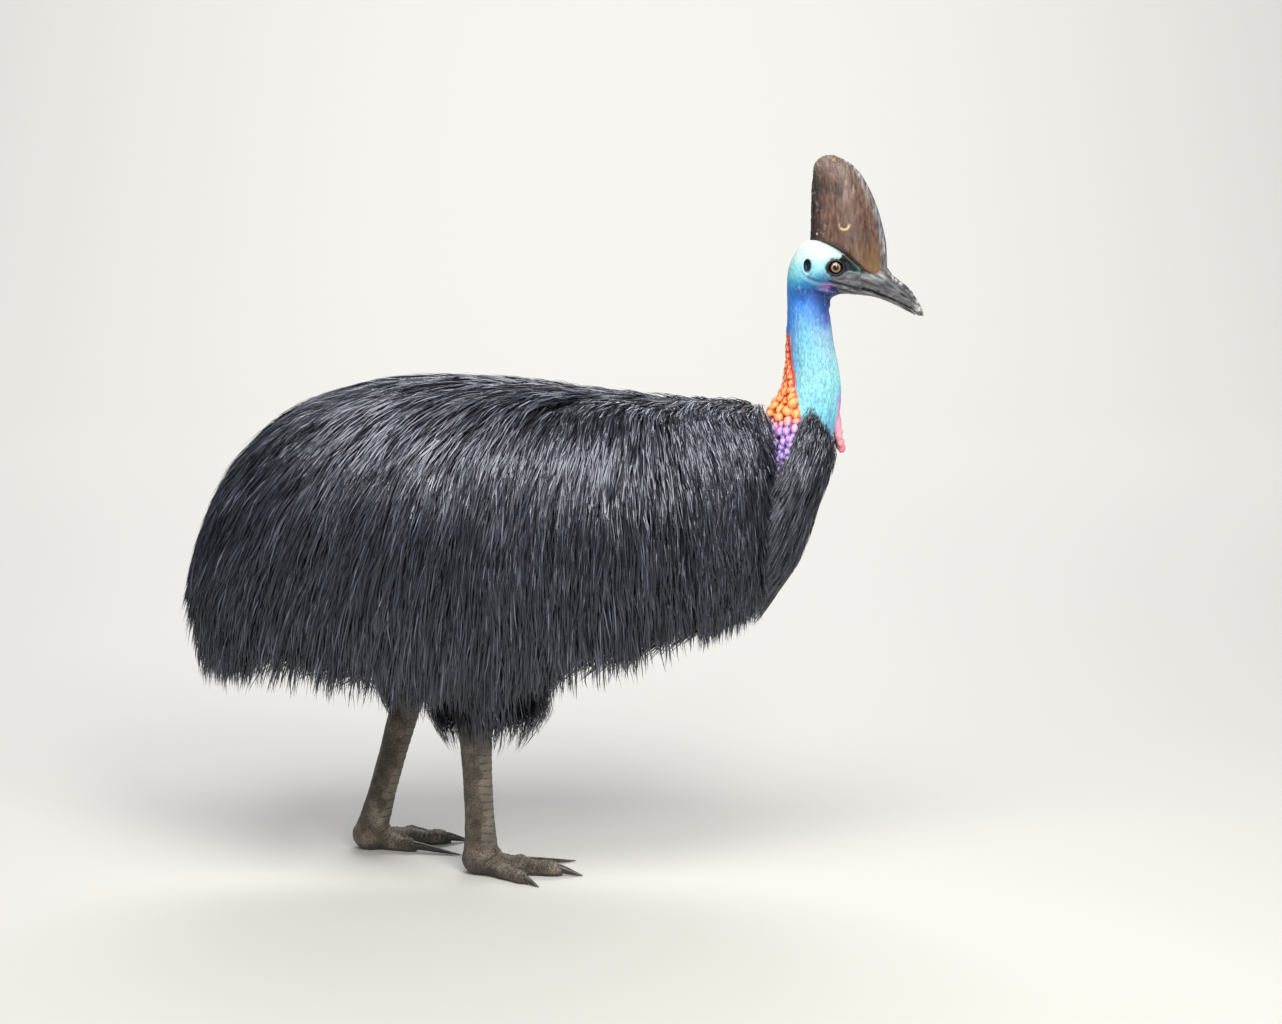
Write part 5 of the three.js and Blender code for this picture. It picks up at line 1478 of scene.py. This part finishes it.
def neckStrands(material):
    locks, each = neckCoat["strands"] * neckCoat["spare"] // neckCoat["perLock"], neckCoat["perLock"]
    total = locks * each
    share = np.repeat(rng.uniform(neckCoat["from"], 1.0, locks), each) + rng.uniform(-0.015, 0.015, total)
    angle = np.repeat(rng.uniform(-np.pi, np.pi, locks), each) + rng.normal(0, neckCoat["around"], total)
    tone = np.repeat(rng.normal(0, 1, locks), each)
    spot = neckPoint(share, angle)
    below = belowFeatherLine(spot) + 4 * noise(spot, 9.0) + rng.uniform(-2, 9, total)
    keep = (below > 0) & (rng.uniform(0, 1, total) < np.interp(share, [0.4, 1.0], [0.8, 1.0]))
    share, angle, tone, below = (values[keep][:neckCoat["strands"]] for values in (share, angle, tone, below))
    count = len(share)
    grown = smooth(below, 0, neckCoat["longOver"]) ** 0.8
    length = mix(*neckCoat["length"], grown) * rng.uniform(0.7, 1.2, count)
    s = share[:, None] + length[:, None] * stations / neckCoat["reach"]
    turn = angle[:, None] * (1 - 0.03 * stations) + rng.normal(0, 0.05, (count, 1)) * stations
    rise = 1 - (1 - stations) ** 2
    top = mix(1.2, neckCoat["swell"], smooth(s, 0.45, 0.72)) * rng.uniform(0.4, 1.1, (count, 1))
    top = top + 0.6 * neckSunk(s) * (1 - smooth(s, 0.4, 0.55))
    spine = neckPoint(s, turn, top - neckCoat["slope"] * length[:, None] * (1 - rise))
    spine = spine + 0.8 * noise(spine, 30.0)[..., None]
    outward = unit(neckPoint(s, turn, 10.0) - neckPoint(s, turn, 5.0))
    width = neckCoat["width"] * rng.uniform(0.65, 1.15, count) * mix(0.45, 1, smooth(below, 0, 90))
    roots = np.stack([share, angle / (2 * np.pi) + 0.5], -1)
    strandPiece("coatNeck", spine, outward, width, tonesOf(neckCoat["tone"], tone), roots, material)


def thighStrands(name, material):
    each, count = thighCoat["perLock"], thighCoat["strands"]
    locks = count // each
    root = np.repeat(rng.uniform(0.05, 0.86, locks), each) + rng.uniform(-0.03, 0.03, count)
    angle = np.repeat(rng.uniform(-np.pi, np.pi, locks), each) + rng.normal(0, 0.09, count)
    tone = np.repeat(rng.normal(0, 1, locks), each)
    tip = root + thighCoat["length"] * rng.uniform(0.6, 1.1, count)
    tip = np.minimum(tip, 1 + rng.uniform(-0.2, 0.04, count))
    share = mix(root[:, None], tip[:, None], stations)
    turn = angle[:, None] + rng.normal(0, 0.07, (count, 1)) * stations
    depth = rng.uniform(0.45, 1.0, (count, 1)) * (0.25 + 0.75 * (1 - (1 - stations) ** 2))
    spine = thighPoint(name, share, turn, depth)
    outward = unit(spine - thighPoint(name, share, turn + np.pi, depth))
    width = thighCoat["width"] * rng.uniform(0.7, 1.15, count)
    roots = np.stack([root, angle / (2 * np.pi) + 0.5], -1)
    strandPiece("coatThigh" + name, spine, outward, width, tonesOf(thighCoat["tone"], tone), roots, material)


# strands that hang from the belly between the sides of the coat
bellyCoat = {"strands": 3400, "width": 2.8, "sag": 6, "tone": [0.4, 0, 0.12]}


def bellyStrands(material):
    count = bellyCoat["strands"]
    along = rng.uniform(0.02, 0.97, count)
    across = rng.uniform(-1, 1, count)
    drift = rng.uniform(0.02, 0.09, count)
    depth = -0.05 + (0.85 + 0.2 * rng.uniform(-1, 0, (count, 1))) * stations
    u = along[:, None] + drift[:, None] * stations
    right, left = (coatPoint(u, 1.0 + 0 * u, depth, side) for side in (-1.0, 1.0))
    spine = mix(right, left, 0.5 + 0.5 * across[:, None, None])
    spine[..., 2] -= bellyCoat["sag"] * np.sin(np.pi * stations)
    outward = point(0.3, np.sign(across)[:, None] + 0 * u, 0)
    width = np.full(count, bellyCoat["width"])
    tone = tonesOf(bellyCoat["tone"], np.zeros(count))
    roots = np.stack([along, 0.5 + 0.5 * across], -1)
    strandPiece("coatBelly", spine, unit(outward), width, tone, roots, material)


# plumage: barbs with no hooks hang like coarse hair; black, with a blue grey flash where one meets the light,
# and darker towards each strand's root as painted shade deep in the coat
def plumage(name, tints, roughness):
    made, tree, shader = surface(name, Roughness=roughness, IOR=1.56, Specular_IOR_Level=1.0)
    feed(tree, shader, {"Specular Tint": "#e8ecff"})
    tint = add(tree, "ValToRGB", [mark(tree, "tone")], stops=tints)
    # painted shade: each strand darkens towards its root, where it lies deep in the coat
    root = add(tree, "MapRange", [mark(tree, "along"), 0.5, 0.0, 0.0, 0.7])
    tint = over(tree, tint, "#030304", root)
    feed(tree, shader, {"Base Color": tint})
    return made


blackCoat = plumage("plumageGlossBlack", [
    (0.2, "#020203"), (0.45, "#07080b"), (0.7, "#1c1f27"), (0.95, "#585e6c")], 0.33)
greyCoat = plumage("plumageNeckGrey", [
    (0.2, "#040405"), (0.45, "#0d0e12"), (0.7, "#262930"), (0.95, "#565b67")], 0.38)
for name, side in sides.items():
    for k, part in enumerate(("Fore", "Middle", "Rear")):
        low, high = coat["cuts"][k:k + 2]
        bodyStrands("coat" + part + name, side, low, high, coat[name.lower()][k], blackCoat)
neckStrands(greyCoat)
for name in sides:
    thighStrands(name, blackCoat)
bellyStrands(blackCoat)


# studio, in metres from here on but for the paper: a pale floor that curves up far behind the bird,
# broad light from above and from the right in front, weak light from the left, some from behind on the back

paper = {"before": 9000.0, "behind": 5600.0, "radius": 3000.0, "high": 12000.0, "halfWidth": 12000.0,
         "sunk": 0.4, "tint": "#c4c2be"}
lamps = {  # where it stands, where it aims, width and height, watts, tint
    "keySoftbox": [(1.2, -2.6, 2.9), (0.1, 0.0, 0.75), (1.5, 1.2), 84, "#fffaf2"],
    "frontSoftbox": [(1.9, -3.4, 1.35), (0.1, 0.0, 0.6), (0.8, 0.8), 21, "#fbf8f4"],
    "fillSoftbox": [(-2.4, -2.6, 2.0), (-0.1, 0.0, 0.7), (1.8, 1.6), 10, "#eef4ff"],
    "overheadSoftbox": [(-0.1, -1.3, 3.3), (-0.1, 0.0, 0.8), (2.6, 1.5), 96, "#fbfaf6"],
    "backSoftbox": [(-0.2, 2.4, 3.0), (0.0, 0.0, 0.8), (2.2, 1.0), 34, "#f6f8ff"],
    "paperSoftbox": [(0.0, 4.8, 5.6), (0.0, 6.8, 0.6), (8.0, 2.4), 500, "#ffffff"],
}
air = {"tint": "#dfe4ea", "strength": 0.36}
view = {"lens": 70.5, "sensor": 36, "far": 60, "spot": (0.161, -4.5, 1.5), "aim": (0.161, 0.0, 0.664)}


def buildStudio():
    bend = np.linspace(0, np.pi / 2, 24)
    radius, behind = paper["radius"], paper["behind"]
    y = np.concatenate([[-paper["before"], 0.0], behind + radius * np.sin(bend), [behind + radius]])
    z = np.concatenate([[0.0, 0.0], radius * (1 - np.cos(bend)), [paper["high"]]])
    x = np.array([-paper["halfWidth"], paper["halfWidth"]])
    points = point(np.tile(x, len(y)), np.repeat(y, 2), np.repeat(z, 2) - paper["sunk"])
    i = np.arange(len(y) - 1)[:, None] * 2
    quads = i + np.array([[0, 1, 3, 2]])
    made, tree, shader = surface("studioPaperMatt", Roughness=0.9)  # matt paper: no glare round the feet
    feed(tree, shader, {"Base Color": paper["tint"]})
    floor = place(meshOf("floor", points, quads, noTris), made)


def aimed(name, data, spot, aim):
    made = bpy.data.objects.new(name, data)
    made.location = spot
    made.rotation_euler = (Vector(aim) - Vector(spot)).to_track_quat("-Z", "Y").to_euler()
    bpy.context.scene.collection.objects.link(made)
    return made


buildStudio()
for name, (spot, aim, size, power, tint) in lamps.items():
    light = bpy.data.lights.new(name, "AREA")
    light.shape = "RECTANGLE"
    light.size, light.size_y = size
    light.energy = power
    light.color = linear(tint)[:3]
    aimed(name, light, spot, aim)
world = bpy.data.worlds.new("studioAir")
bpy.context.scene.world = world
world.use_nodes = True
background = world.node_tree.nodes["Background"]
feed(world.node_tree, background, {"Color": air["tint"], "Strength": air["strength"]})

camera = bpy.data.cameras.new("camera")
camera.lens = view["lens"]
camera.sensor_width = view["sensor"]
camera.clip_end = view["far"]
bpy.context.scene.camera = aimed("camera", camera, view["spot"], view["aim"])
bpy.context.scene.view_settings.view_transform = "Standard"
print("studio ready")
